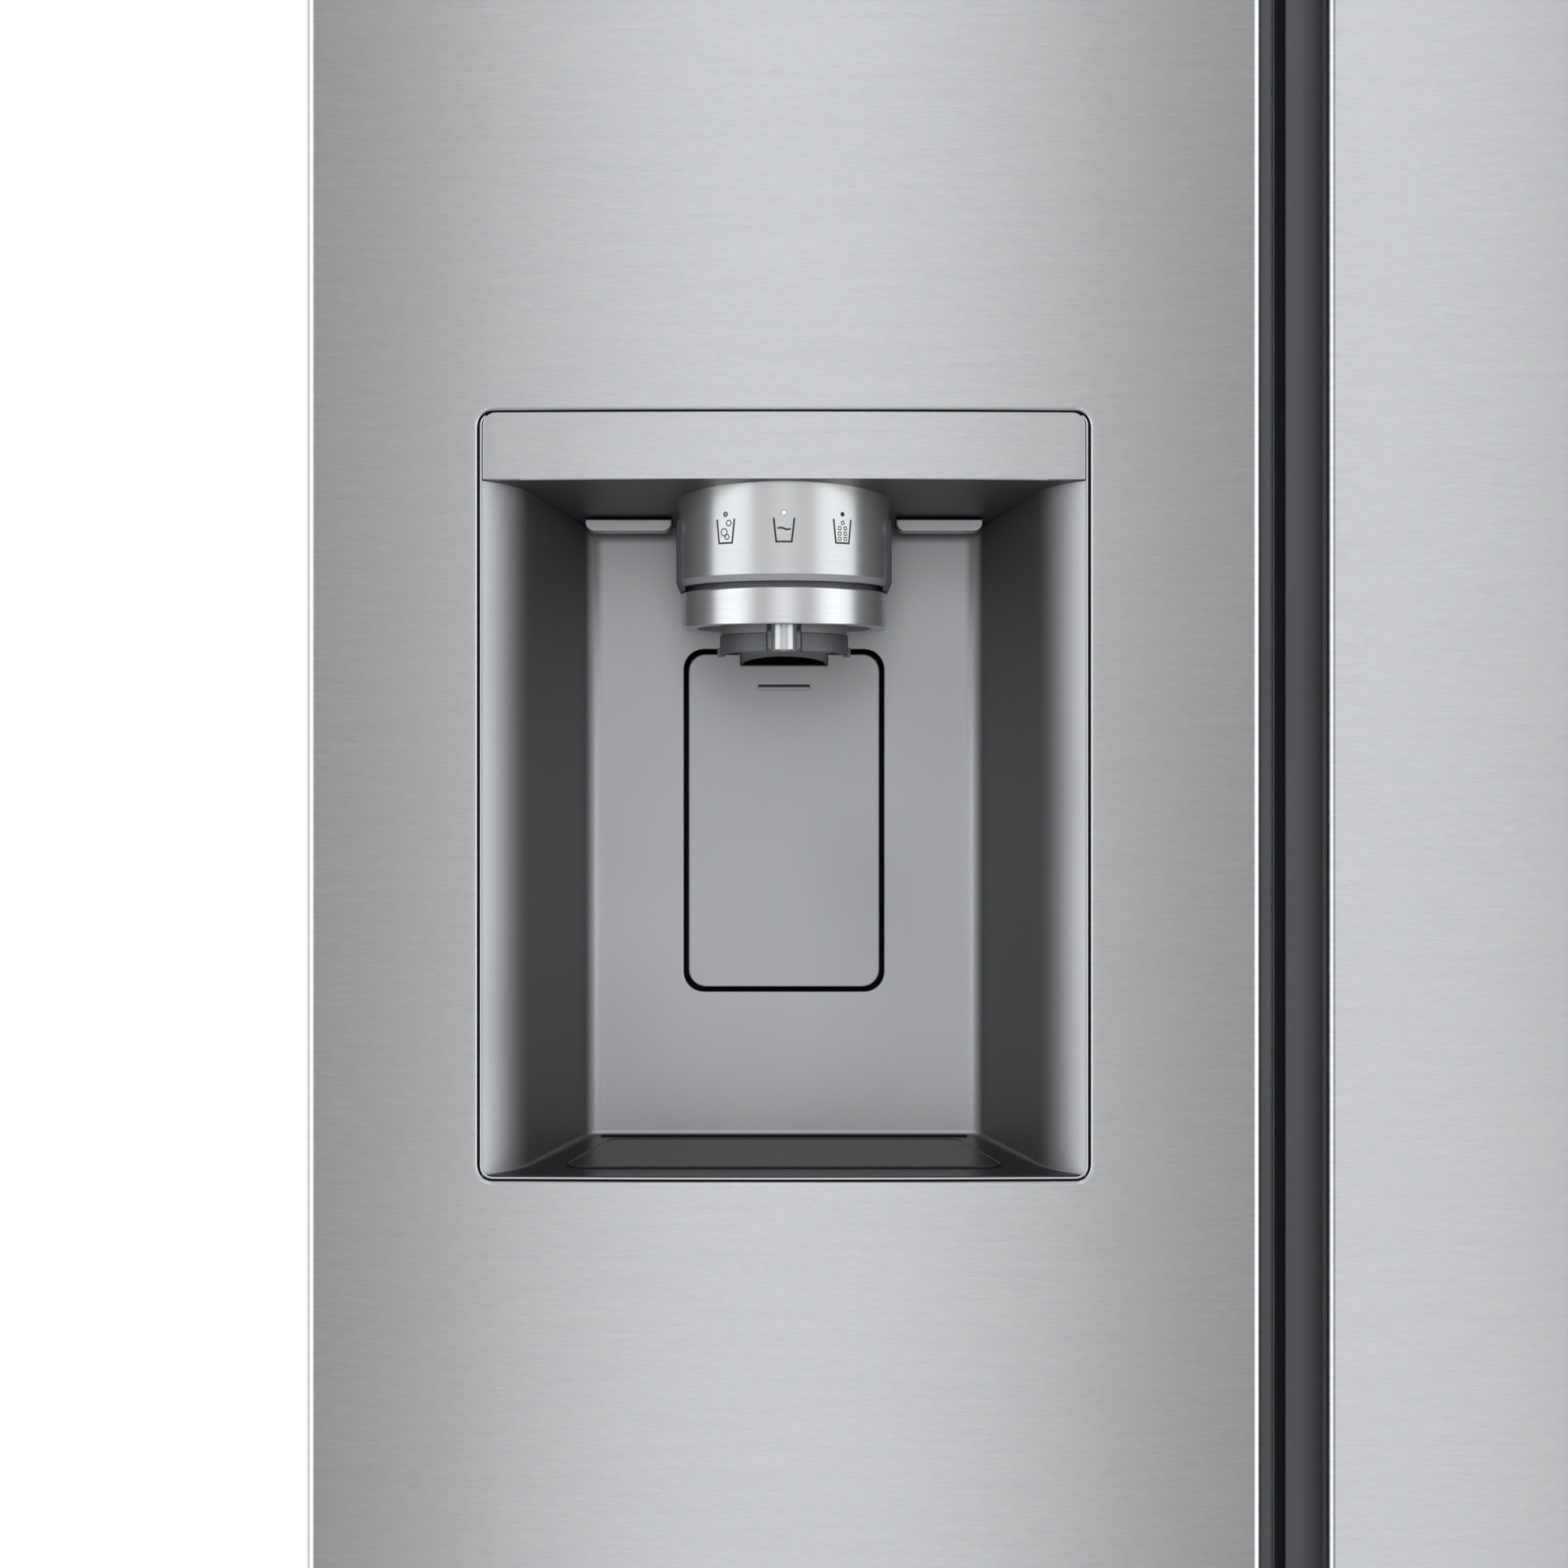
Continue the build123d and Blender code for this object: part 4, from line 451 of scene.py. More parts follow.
def wall(bm, columns, spans, hole=None):
    # Upright sheet through columns (x, y), each with its low and high z, with one rounded hole left out.
    low = makeRow(bm, [(x, y, span[0]) for (x, y), span in zip(columns, spans)])
    high = makeRow(bm, [(x, y, span[1]) for (x, y), span in zip(columns, spans)])
    cut = {}
    for i, (x, y) in enumerate(columns):
        if hole and abs(x - hole["x"]) <= hole["half"] + mergeDistance:
            cut[i] = makeRow(bm, [(x, y, z) for z in holeSpan(hole, x)])
    for i in range(len(columns) - 1):
        j = i + 1
        if i in cut and j in cut:
            bm.faces.new((low[i], low[j], cut[j][0], cut[i][0]))
            bm.faces.new((cut[i][1], cut[j][1], high[j], high[i]))
        else:
            bm.faces.new([low[i], low[j], *cut.get(j, ()), high[j], high[i], *reversed(cut.get(i, ()))])
    inside = sorted(cut)
    return low, high, [cut[i][0] for i in inside] + [cut[i][1] for i in reversed(inside)]


def arc(centre, radius, start, end, steps):
    turns = [math.radians(start + (end - start) * k / steps) for k in range(steps + 1)]
    return [(centre[0] + radius * math.cos(t), centre[1] + radius * math.sin(t)) for t in turns]


def roundCorners(points, radius, steps=6):
    # Outline with an arc in place of every corner.
    outline = []
    for i, corner in enumerate(points):
        sides = [(points[k % len(points)] - corner).normalized() for k in (i - 1, i + 1)]
        half = sides[0].angle(sides[1]) / 2
        centre = corner + (sides[0] + sides[1]).normalized() * radius / math.sin(half)
        first, last = (corner + side * radius / math.tan(half) - centre for side in sides)
        outline += [centre + first.lerp(last, k / steps).normalized() * radius for k in range(steps + 1)]
    return outline


def lathe(bm, sectionAt, centre, start, end, steps):
    # Turns a closed section about an upright axis; angles run from the front, in degrees.
    full = abs(end - start) >= 360
    rows = []
    for k in range(steps if full else steps + 1):
        turn = math.radians(start + (end - start) * k / steps)
        rows.append(makeRow(bm, [(centre[0] + r * math.sin(turn), centre[1] - r * math.cos(turn), z)
                                 for r, z in sectionAt(turn)]))
    if not full:
        bm.faces.new(rows[0])
        bm.faces.new(rows[-1][::-1])
    strip(bm, rows + rows[:1] if full else rows, closed=True)
    bmesh.ops.recalc_face_normals(bm, faces=bm.faces)


def roundedBox(bm, lo, hi, radius, steps=3):
    made = bmesh.ops.create_cube(bm, size=1.0)["verts"]
    for v in made:
        v.co = Vector([lo[k] if v.co[k] < 0 else hi[k] for k in range(3)])
    edges = list({e for v in made for e in v.link_edges})
    bmesh.ops.bevel(bm, geom=edges, offset=radius, segments=steps, profile=0.5, affect="EDGES")


def closeRows(bm, rows):
    # Solid from rows that run all round it, with a face at each end.
    strip(bm, rows, closed=True)
    bm.faces.new(rows[0])
    bm.faces.new(rows[-1][::-1])
    bmesh.ops.recalc_face_normals(bm, faces=bm.faces)


def cup(bm, x, z, front, back, thickness):
    # Open-fronted box with walls, seen from the front.
    def ring(grow, y):
        return makeRow(bm, [(x[0] - grow, y, z[0] - grow), (x[1] + grow, y, z[0] - grow),
                            (x[1] + grow, y, z[1] + grow), (x[0] - grow, y, z[1] + grow)])
    closeRows(bm, [ring(thickness, back + thickness), ring(thickness, front), ring(0, front), ring(0, back)])


# Camera: square on to the dispenser, low enough to look up at its ceiling a little

doorLo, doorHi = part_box("freezer_door_skin")
housingLo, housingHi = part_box("dispenser_housing")
middleX = (doorLo.x + doorHi.x) / 2
view = {
    "sensor": 36, "distance": 1400 * mm, "height": 1082.3 * mm,
    "frameHeight": 1104.7 * mm, "frameWidth": 644 * mm,
}

lens = bpy.data.cameras.new("photoCamera")
lens.sensor_width = view["sensor"]
lens.lens = view["sensor"] * view["distance"] / view["frameWidth"]
lens.shift_y = (view["frameHeight"] - view["height"]) / view["frameWidth"]
camera = bpy.data.objects.new("photoCamera", lens)
camera.location = (middleX, doorLo.y - view["distance"], view["height"])
camera.rotation_euler = (math.radians(90), 0, 0)
scene.collection.objects.link(camera)
scene.camera = camera
scene.view_settings.view_transform = "Standard"
print("camera placed")


# Door fronts: one bowed sheet each, folded back along both upright edges

doorFace = {
    "bow": 2200 * mm, "edge": 4 * mm, "sheet": 1 * mm, "step": 14 * mm,
    "lipDepth": 27 * mm, "hem": 4.5 * mm,
    "cutGap": 0.6 * mm, "cornerRadius": 5.3 * mm, "roll": 2.0 * mm, "rollDepth": 6 * mm,
    "bezelLift": 0.2 * mm,
}


def doorFront(x):
    return doorLo.y + doorFace["bow"] - math.sqrt(doorFace["bow"] ** 2 - (x - middleX) ** 2)


def doorColumns(lo, hi, gripSide, extra):
    f = doorFace
    centre = (lo.x + hi.x) / 2
    offset = hi.x - f["edge"] - centre
    edgeY = lo.y + f["bow"] - math.sqrt((f["bow"] - f["edge"]) ** 2 - offset ** 2)
    turn = math.asin(offset / (f["bow"] - f["edge"]))
    reach = f["bow"] * math.sin(turn)
    count = round(2 * reach / f["step"])
    places = sorted(set([centre - reach + 2 * reach * k / count for k in range(1, count)] + list(extra)))
    bow = [(x, lo.y + f["bow"] - math.sqrt(f["bow"] ** 2 - (x - centre) ** 2)) for x in places]
    tilt = math.degrees(turn)
    left = arc((lo.x + f["edge"], edgeY), f["edge"], 180, 270 - tilt, 8)
    right = arc((hi.x - f["edge"], edgeY), f["edge"], 270 + tilt, 360, 8)
    lip = lo.y + f["lipDepth"]
    ends = {-1: [(lo.x, hi.y)], 1: [(hi.x, hi.y)]}
    edge = hi.x if gripSide > 0 else lo.x
    ends[gripSide] = [(edge, lip), (edge - gripSide * f["hem"], lip)]
    return ends[-1][::-1] + left + bow + right + ends[1]


def doorSkin(door, gripSide, hole=None):
    lo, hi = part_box(door + "_door_skin")
    extra = cornerColumns(hole["x"], hole["half"], hole["radius"]) if hole else []
    columns = doorColumns(lo, hi, gripSide, extra)
    bm = bmesh.new()
    loop = wall(bm, columns, [(lo.z, hi.z)] * len(columns), hole)[2]
    if hole:
        roll(bm, loop, True, doorFace["roll"], doorFace["rollDepth"])
    addPiece(door + "_door_front", bm, steel, door + "_door", [door + "_door_skin"],
             sheet=doorFace["sheet"])


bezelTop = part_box("dispenser_fascia")[1].z + doorFace["bezelLift"]
bezelHalf = (housingHi.x - housingLo.x) / 2
cutMargin = doorFace["cutGap"] + doorFace["roll"]
cutOut = {
    "x": middleX, "half": bezelHalf + cutMargin,
    "low": housingLo.z - cutMargin, "high": bezelTop + cutMargin,
    "radius": doorFace["cornerRadius"] + cutMargin,
}
doorSkin("freezer", 1, cutOut)
doorSkin("fridge", -1)


def bezelLoop(grow):
    # Outline of the bezel from the front, grown outwards.
    half, radius = bezelHalf + grow, doorFace["cornerRadius"] + grow
    straight = [middleX + half * k / 12 for k in range(-10, 11)]
    xs = sorted(cornerColumns(middleX, half, radius) + straight)
    drops = [cornerDrop(abs(x - middleX) - (half - radius), radius) for x in xs]
    foot = [(x, housingLo.z - grow + drop) for x, drop in zip(xs, drops)]
    head = [(x, bezelTop + grow - drop) for x, drop in zip(xs, drops)]
    return foot + head[::-1]


seal = {"inner": -0.1 * mm, "outer": 0.8 * mm, "front": 0.8 * mm, "back": 4 * mm}


def bezelSeal():
    # Black strip in the gap between the door's steel and the bezel.
    f = seal
    section = ((f["inner"], f["back"]), (f["inner"], f["front"]), (f["outer"], f["front"]),
               (f["outer"], f["back"]))
    bm = bmesh.new()
    rows = [makeRow(bm, [(x, doorFront(x) + back, z) for x, z in bezelLoop(grow)]) for grow, back in section]
    strip(bm, rows + rows[:1], closed=True)
    bmesh.ops.recalc_face_normals(bm, faces=bm.faces)
    addPiece("bezel_seal", bm, sealFoam, "freezer_door")


bezelSeal()
print("door fronts made")


# Dispenser recess: rolled sides, a flat back with the paddle's window, sloping floor and ceiling

recess = {
    "rim": 1 * mm, "depth": 97 * mm, "wall": 0.8 * mm, "lipSet": 0.5 * mm, "sillSet": 0.6 * mm,
    "floorFront": 943.3 * mm, "floorBack": 952.4 * mm,
    "ceilingFront": 1230.2 * mm, "ceilingBack": 1219.3 * mm, "headRoll": 18 * mm, "headTurn": 26,
    "lipRadius": 39 * mm, "lipStart": 30, "lipEnd": 73, "lipSteps": 18,
    "cornerRadius": 9 * mm, "floorFillet": 2 * mm, "filletFrom": 4 * mm, "filletRun": 34 * mm,
    "apron": 1.5 * mm, "leastShare": 0.02, "bends": 6,
    "windowGap": 2.5 * mm, "windowRadius": 9.2 * mm, "windowRoll": 0.4 * mm, "windowDepth": 2.6 * mm,
}
recessHalf = bezelHalf - recess["rim"]
recessBack = doorLo.y + recess["depth"]
paddleLo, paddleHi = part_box("paddle")
plateLo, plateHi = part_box("nozzle_housing")
nozzleRadius = (plateHi.x - plateLo.x) / 2
nozzleY = plateLo.y + nozzleRadius


def slopeZ(part, y):
    share = (y - doorLo.y) / recess["depth"]
    return recess[part + "Front"] + (recess[part + "Back"] - recess[part + "Front"]) * share


def recessSide():
    # Right half of the plan, from the front lip to the back wall.
    f = recess
    first, last = math.radians(f["lipStart"]), math.radians(f["lipEnd"])
    startY = doorFront(middleX + recessHalf) + f["lipSet"]
    lip = []
    for k in range(f["lipSteps"] + 1):
        turn = first + (last - first) * k / f["lipSteps"]
        lip.append((recessHalf - f["lipRadius"] * (math.sin(turn) - math.sin(first)),
                    startY + f["lipRadius"] * (math.cos(first) - math.cos(turn))))
    endX, endY = lip[-1]
    backX = endX - (recessBack - endY) / math.tan(last)
    tangent = f["cornerRadius"] * math.tan(last / 2)
    centre = (backX - tangent, recessBack - f["cornerRadius"])
    corner = arc(centre, f["cornerRadius"], 90 - math.degrees(last), 90, 10)
    return lip + corner


def recessColumns():
    right = recessSide()
    window = paddleWindow()
    flat = sorted(cornerColumns(middleX, window["half"], window["radius"]))
    left = [(middleX - x, y) for x, y in right]
    return left + [(x, recessBack) for x in flat] + [(middleX + x, y) for x, y in reversed(right)]


def paddleWindow():
    gap = recess["windowGap"]
    return {"x": middleX, "half": paddleFace["half"] + gap, "low": paddleFace["low"] - gap,
            "high": paddleFace["high"] + gap, "radius": recess["windowRadius"]}


paddleFace = {
    "half": 41.9 * mm, "low": paddleLo.z, "high": paddleHi.z, "corner": 7 * mm, "edge": 0.7 * mm,
    "thickness": 3 * mm, "notchHalf": 19.8 * mm, "notchLow": 1157.8 * mm, "notchCorner": 1.2 * mm,
    "notchStep": 0.03 * mm, "grooveHalf": 12 * mm, "grooveLow": 1147.3 * mm, "grooveHigh": 1150.2 * mm,
    "grooveRoll": 0.25 * mm, "grooveDepth": 0.7 * mm, "bedDepth": 0.6 * mm, "bedMargin": 1 * mm,
    "slotLow": 1148.7 * mm, "slotInset": 0.5 * mm, "slotDrop": 0.2 * mm, "slotRadius": 0.4 * mm,
    "slotRoll": 0.1 * mm, "slotDepth": 2.2 * mm,
    "earInset": 3 * mm, "earHalf": 2 * mm, "earDepths": (2.9 * mm, 14 * mm),
    "earHeights": (1153 * mm, 1161 * mm), "earEdge": 0.8 * mm,
}


def recessShell():
    f = recess
    columns = recessColumns()
    flat = [Vector(c) for c in columns]
    inward = []
    for i, point in enumerate(flat):
        along = (flat[min(i + 1, len(flat) - 1)] - flat[max(i - 1, 0)]).normalized()
        inward.append(Vector((along.y, -along.x)))
    bm = bmesh.new()
    least = f["leastShare"]
    runs = [min(max((y - doorLo.y - f["filletFrom"]) / f["filletRun"], least), 1.0) for x, y in columns]
    rounds = [f["floorFillet"] * run for run in runs]
    # The back wall's head rolls back under the lamps.
    full = math.radians(f["headTurn"])
    heads = [f["headRoll"] * max(1 - (recessBack - y) / f["cornerRadius"], least) for x, y in columns]
    spans = [(slopeZ("floor", y) + r, slopeZ("ceiling", y) - head * math.sin(full))
             for (x, y), r, head in zip(columns, rounds, heads)]
    low, high, loop = wall(bm, columns, spans, paddleWindow())
    roll(bm, loop, True, f["windowRoll"], f["windowDepth"], 3)
    rows = [low]
    bends = f["bends"]
    for k in range(1, bends + 2):
        turn = math.pi / 2 * min(k, bends) / bends
        apron = f["apron"] if k > bends else 0.0
        row = []
        for point, normal, r, run in zip(flat, inward, rounds, runs):
            place = point + normal * (r * (1 - math.cos(turn)) + apron * run)
            row.append((place.x, place.y, slopeZ("floor", place.y) + r * (1 - math.sin(turn))))
        rows.append(makeRow(bm, row))
    strip(bm, [row[::-1] for row in rows])
    rise = [high]
    for k in range(1, bends + 1):
        turn = full * k / bends
        row = []
        for point, normal, head in zip(flat, inward, heads):
            place = point - normal * (head * (1 - math.cos(turn)))
            drop = head * (math.sin(full) - math.sin(turn))
            row.append((place.x, place.y, slopeZ("ceiling", place.y) - drop))
        rise.append(makeRow(bm, row))
    strip(bm, rise)
    steps = 16
    sill = [middleX + recessHalf * (1 - 2 * k / steps) for k in range(1, steps)]
    front = [(x, doorFront(x) + f["sillSet"]) for x in sill]
    bm.faces.new(rise[-1] + makeRow(bm, [(x, y, slopeZ("ceiling", y)) for x, y in front]))
    floor = bmesh.new()
    edge = makeRow(floor, [v.co for v in rows[-1]])
    floor.faces.new(edge[::-1] + makeRow(floor, [(x, y, slopeZ("floor", y)) for x, y in front[::-1]]))
    addPiece("dispenser_floor", floor, trayPlastic, "freezer_door", sheet=f["wall"])
    return addPiece("dispenser_recess", bm, recessPaint, "freezer_door",
                    ["dispenser_housing"], sheet=f["wall"])


joint = {"half": 80 * mm, "depths": (7.5 * mm, 1.5 * mm), "lifts": (-0.4 * mm, 0.15 * mm)}


def floorJoint():
    # Black joint where the floor meets the back wall.
    front, back = (recessBack - depth for depth in joint["depths"])
    corners = [(-1, front), (1, front), (1, back), (-1, back)]
    bm = bmesh.new()
    closeRows(bm, [makeRow(bm, [(middleX + side * joint["half"], y, slopeZ("floor", y) + lift)
                                for side, y in corners]) for lift in joint["lifts"]])
    addPiece("floor_joint", bm, sealFoam, "freezer_door")


pocket = {"margin": 5 * mm, "rise": 6 * mm, "front": 2.5 * mm, "depth": 26 * mm, "wall": 2 * mm}


def paddlePocket():
    # Box behind the recess that the paddle swings into, near black: painted shade for its shaded inside.
    f = pocket
    window = paddleWindow()
    reach = paddleFace["half"] + f["margin"]
    bm = bmesh.new()
    cup(bm, (middleX - reach, middleX + reach), (window["low"] - f["rise"], window["high"] + f["rise"]),
        recessBack + f["front"], recessBack + f["depth"], f["wall"])
    addPiece("paddle_pocket", bm, pocketShade, "freezer_door")


def plate(bm, columns, spans, edge, thickness):
    # Upright plate with an eased front edge.
    bottom, top, _ = wall(bm, columns, spans)
    bm.faces.new(roll(bm, bottom + top[::-1], False, edge, thickness)[::-1])


casing = {
    "margin": 0.5 * mm, "inset": 3 * mm, "front": 10 * mm, "top": 1216 * mm, "drop": 2 * mm, "root": 1 * mm,
    "chamferWidth": 2 * mm, "chamferHeight": 3 * mm, "edge": 0.5 * mm,
}


def nozzleCasing():
    # Cheeks that carry the nozzle, tapered at their foot.
    f = casing
    bm = bmesh.new()
    half, foot = nozzleRadius + f["margin"] - f["edge"], plateLo.z - f["drop"] + f["edge"]
    inner = nozzleRadius - f["inset"]
    front = nozzleY - f["front"]
    for side in (-1, 1):
        xs = sorted((side * inner, side * (half - f["chamferWidth"]), side * half))
        spans = [(foot + f["chamferHeight"] if abs(x) == half else foot, f["top"]) for x in xs]
        plate(bm, [(middleX + x, front) for x in xs], spans, f["edge"], recessBack + f["root"] - front)
    addPiece("dispenser_casing", bm, bareAbs, "freezer_door")


shield = {"half": 19 * mm, "height": 4.2 * mm, "depth": 4.2 * mm, "edge": 0.2 * mm, "thickness": 1.5 * mm}


def iceShield():
    # Arched shield behind the paddle's notch.
    f = shield
    bm = bmesh.new()
    xs = [f["half"] * k / 12 for k in range(-13, 14)]
    base = paddleFace["notchLow"] + paddleFace["edge"]
    top = paddleWindow()["high"] + pocket["rise"]
    rise = [f["height"] * math.sqrt(max(0.0, 1 - (x / f["half"]) ** 2)) for x in xs]
    plate(bm, [(middleX + x, recessBack + f["depth"]) for x in xs], [(base + r, top) for r in rise],
          f["edge"], f["thickness"])
    addPiece("ice_shield", bm, shieldAbs, "freezer_door")


# In millimetres: distance behind the door's front, and the section as inset and depth
bezelRim = {
    "set": 0.1,
    "section": ((0, 4.0), (0, 0.45), (0.12, 0.12), (0.4, 0), (0.7, 0.12), (1.0, 0.5), (1.0, 5.0)),
}


def recessRim():
    # Narrow rounded rim round the sides and foot of the recess; the fascia closes it at the top.
    bm = bmesh.new()
    rows = []
    for inset, back in bezelRim["section"]:
        radius = doorFace["cornerRadius"] - inset * mm
        x, z = bezelHalf - inset * mm, housingLo.z + inset * mm
        right = arc((x - radius, bezelTop - doorFace["cornerRadius"]), radius, 55, 0, 5)
        right += arc((x - radius, z + radius), radius, 0, -90, 8)
        foot = [(x - radius) * (1 - 2 * k / 16) for k in range(1, 16)]
        outline = right + [(px, z) for px in foot] + [(-px, pz) for px, pz in reversed(right)]
        behind = (back + bezelRim["set"]) * mm
        rows.append(makeRow(bm, [(middleX + px, doorFront(middleX + px) + behind, pz) for px, pz in outline]))
    strip(bm, rows)
    bm.faces.new([row[0] for row in rows])
    bm.faces.new([row[-1] for row in reversed(rows)])
    bmesh.ops.recalc_face_normals(bm, faces=bm.faces)
    addPiece("dispenser_rim", bm, rimFoil, "freezer_door", smooth=60)


# Painted shade on the recess walls, set by how far each face turns from the front
paintFacingShade(recessShell())
floorJoint()
paddlePocket()
nozzleCasing()
iceShield()
recessRim()
print("dispenser recess made")


# Fascia above the recess, in the door's own steel

fascia = {"side": 0.2 * mm, "corner": 5.0 * mm, "edge": 0.3 * mm, "thickness": 10 * mm}


def fasciaPlate():
    f = fascia
    half = recessHalf - f["side"] - f["edge"]
    low = slopeZ("ceiling", doorLo.y) + f["edge"]
    high = bezelTop - f["edge"]
    straight = [middleX + half * k / 12 for k in range(-9, 10)]
    xs = sorted(cornerColumns(middleX, half, f["corner"]) + straight)
    spans = [(low, high - cornerDrop(abs(x - middleX) - (half - f["corner"]), f["corner"])) for x in xs]
    bm = bmesh.new()
    plate(bm, [(x, doorFront(x)) for x in xs], spans, f["edge"], f["thickness"])
    addPiece("dispenser_fascia_plate", bm, steel, "freezer_door", ["dispenser_fascia"])


fasciaPlate()


# Paddle: a flat lacquered plate with a notch under the ice mouth and a finger groove

def paddlePlate():
    f = paddleFace
    half = f["half"] - f["edge"]
    low, high = f["low"] + f["edge"], f["high"] - f["edge"]
    groove = {"x": middleX, "half": f["grooveHalf"], "low": f["grooveLow"], "high": f["grooveHigh"],
              "radius": (f["grooveHigh"] - f["grooveLow"]) / 2 - 10 * mergeDistance}
    step = [middleX + side * (f["notchHalf"] + f["notchStep"]) for side in (-1, 1)]
    xs = sorted(cornerColumns(middleX, half, f["corner"]) + step
                + cornerColumns(middleX, f["notchHalf"], f["notchCorner"])
                + cornerColumns(middleX, groove["half"], groove["radius"]))

    def span(x):
        out = abs(x - middleX)
        if out <= f["notchHalf"]:
            corner = f["notchCorner"]
            return low, f["notchLow"] + cornerDrop(out - (f["notchHalf"] - corner), corner)
        drop = cornerDrop(out - (half - f["corner"]), f["corner"])
        return low + drop, high - drop

    bm = bmesh.new()
    bottom, top, loop = wall(bm, [(x, recessBack) for x in xs], [span(x) for x in xs], groove)
    roll(bm, loop, True, f["grooveRoll"], f["grooveDepth"], 2)
    slot = {"x": middleX, "half": f["grooveHalf"] - f["slotInset"], "low": f["slotLow"],
            "high": f["grooveHigh"] - f["slotDrop"], "radius": f["slotRadius"]}
    reach = f["grooveHalf"] + f["bedMargin"]
    inner = sorted([middleX - reach, middleX + reach]
                   + cornerColumns(middleX, slot["half"], slot["radius"]))
    spans = [(f["grooveLow"] - f["bedMargin"], f["grooveHigh"] + f["bedMargin"])] * len(inner)
    loop = wall(bm, [(x, recessBack + f["bedDepth"]) for x in inner], spans, slot)[2]
    roll(bm, loop, True, f["slotRoll"], f["slotDepth"], 2)
    back = roll(bm, bottom + top[::-1], False, f["edge"], f["thickness"])
    bm.faces.new(back[::-1])
    for side in (-1, 1):
        ear = middleX + side * (f["half"] - f["earInset"])
        roundedBox(bm, (ear - f["earHalf"], recessBack + f["earDepths"][0], f["earHeights"][0]),
                   (ear + f["earHalf"], recessBack + f["earDepths"][1], f["earHeights"][1]), f["earEdge"])
    return addPiece("paddle_plate", bm, paddlePaint, "paddle_body", ["paddle"])


# Painted shade on the paddle's edges and groove, set by how far each face turns from the front
paintFacingShade(paddlePlate())


# Nozzle: chrome cover, turned ring, dark ice mouth and the water tube

nozzle = {
    "wall": 2.5 * mm, "chamferHeight": 2.8 * mm, "chamferWidth": 1.4 * mm, "halfTurn": 93.5,
    "skirtSet": 0.1 * mm, "skirtEdge": 0.3 * mm,
}


def nozzleCover():
    f = nozzle
    outer, inner = nozzleRadius, nozzleRadius - f["wall"]
    foot = plateLo.z

    def section(turn):
        top = [slopeZ("ceiling", nozzleY - r * math.cos(turn)) for r in (inner, outer)]
        return [(inner, top[0]), (outer, top[1]), (outer, skirt), (inner, skirt)]

    step = outer - f["chamferWidth"]
    skirt = foot + f["chamferHeight"]
    rim = [(inner, skirt), (outer - f["skirtSet"], skirt), (step, foot + f["skirtSet"]),
           (step - f["skirtEdge"], foot), (inner, foot)]
    bm = bmesh.new()
    lathe(bm, lambda turn: rim, (middleX, nozzleY), -f["halfTurn"], f["halfTurn"], 96)
    addPiece("cover_skirt", bm, shieldAbs, "freezer_door")
    bm = bmesh.new()
    lathe(bm, section, (middleX, nozzleY), -f["halfTurn"], f["halfTurn"], 96)
    addPiece("nozzle_cover", bm, chrome, "freezer_door", ["nozzle_housing"], smooth=22)


turnedRing = {"lip": 6.7 * mm, "edge": 1 * mm, "foot": 0.4 * mm, "top": 3.5 * mm}


def nozzleRing():
    f = turnedRing
    lo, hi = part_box("nozzle_ring")
    radius, edge = (hi.x - lo.x) / 2, f["edge"]
    inner = radius - f["lip"]
    section = [(inner, lo.z + f["foot"]), (inner, hi.z - edge), (radius - f["top"], hi.z)]
    section += arc((radius - edge, hi.z - edge), edge, 90, 0, 5)
    section += arc((radius - edge, lo.z + edge), edge, 0, -90, 5)
    bm = bmesh.new()
    lathe(bm, lambda turn: section, (middleX, nozzleY), 0, 360, 160)
    addPiece("nozzle_turned_ring", bm, ringMetal, "freezer_door", ["nozzle_ring"])


mouth = {
    "radius": 27.3 * mm, "wall": 2.3 * mm, "rise": 1.4 * mm, "seam": 1168.4 * mm, "ease": 0.3 * mm,
    "edge": 0.4 * mm, "halfTurn": 96, "gapHalf": 7.5 * mm, "collarInset": 0.7 * mm, "collarGap": 1 * mm,
    "plateLift": 1.5 * mm, "plateThickness": 3 * mm, "plateEdge": 0.5 * mm, "neckWall": 2.8 * mm,
    "lugInset": 0.6 * mm, "lugHalf": 1.6 * mm, "lugDepths": (-2 * mm, 3 * mm),
    "lugHeights": (-0.9 * mm, 3 * mm), "lugEdge": 0.5 * mm,
}


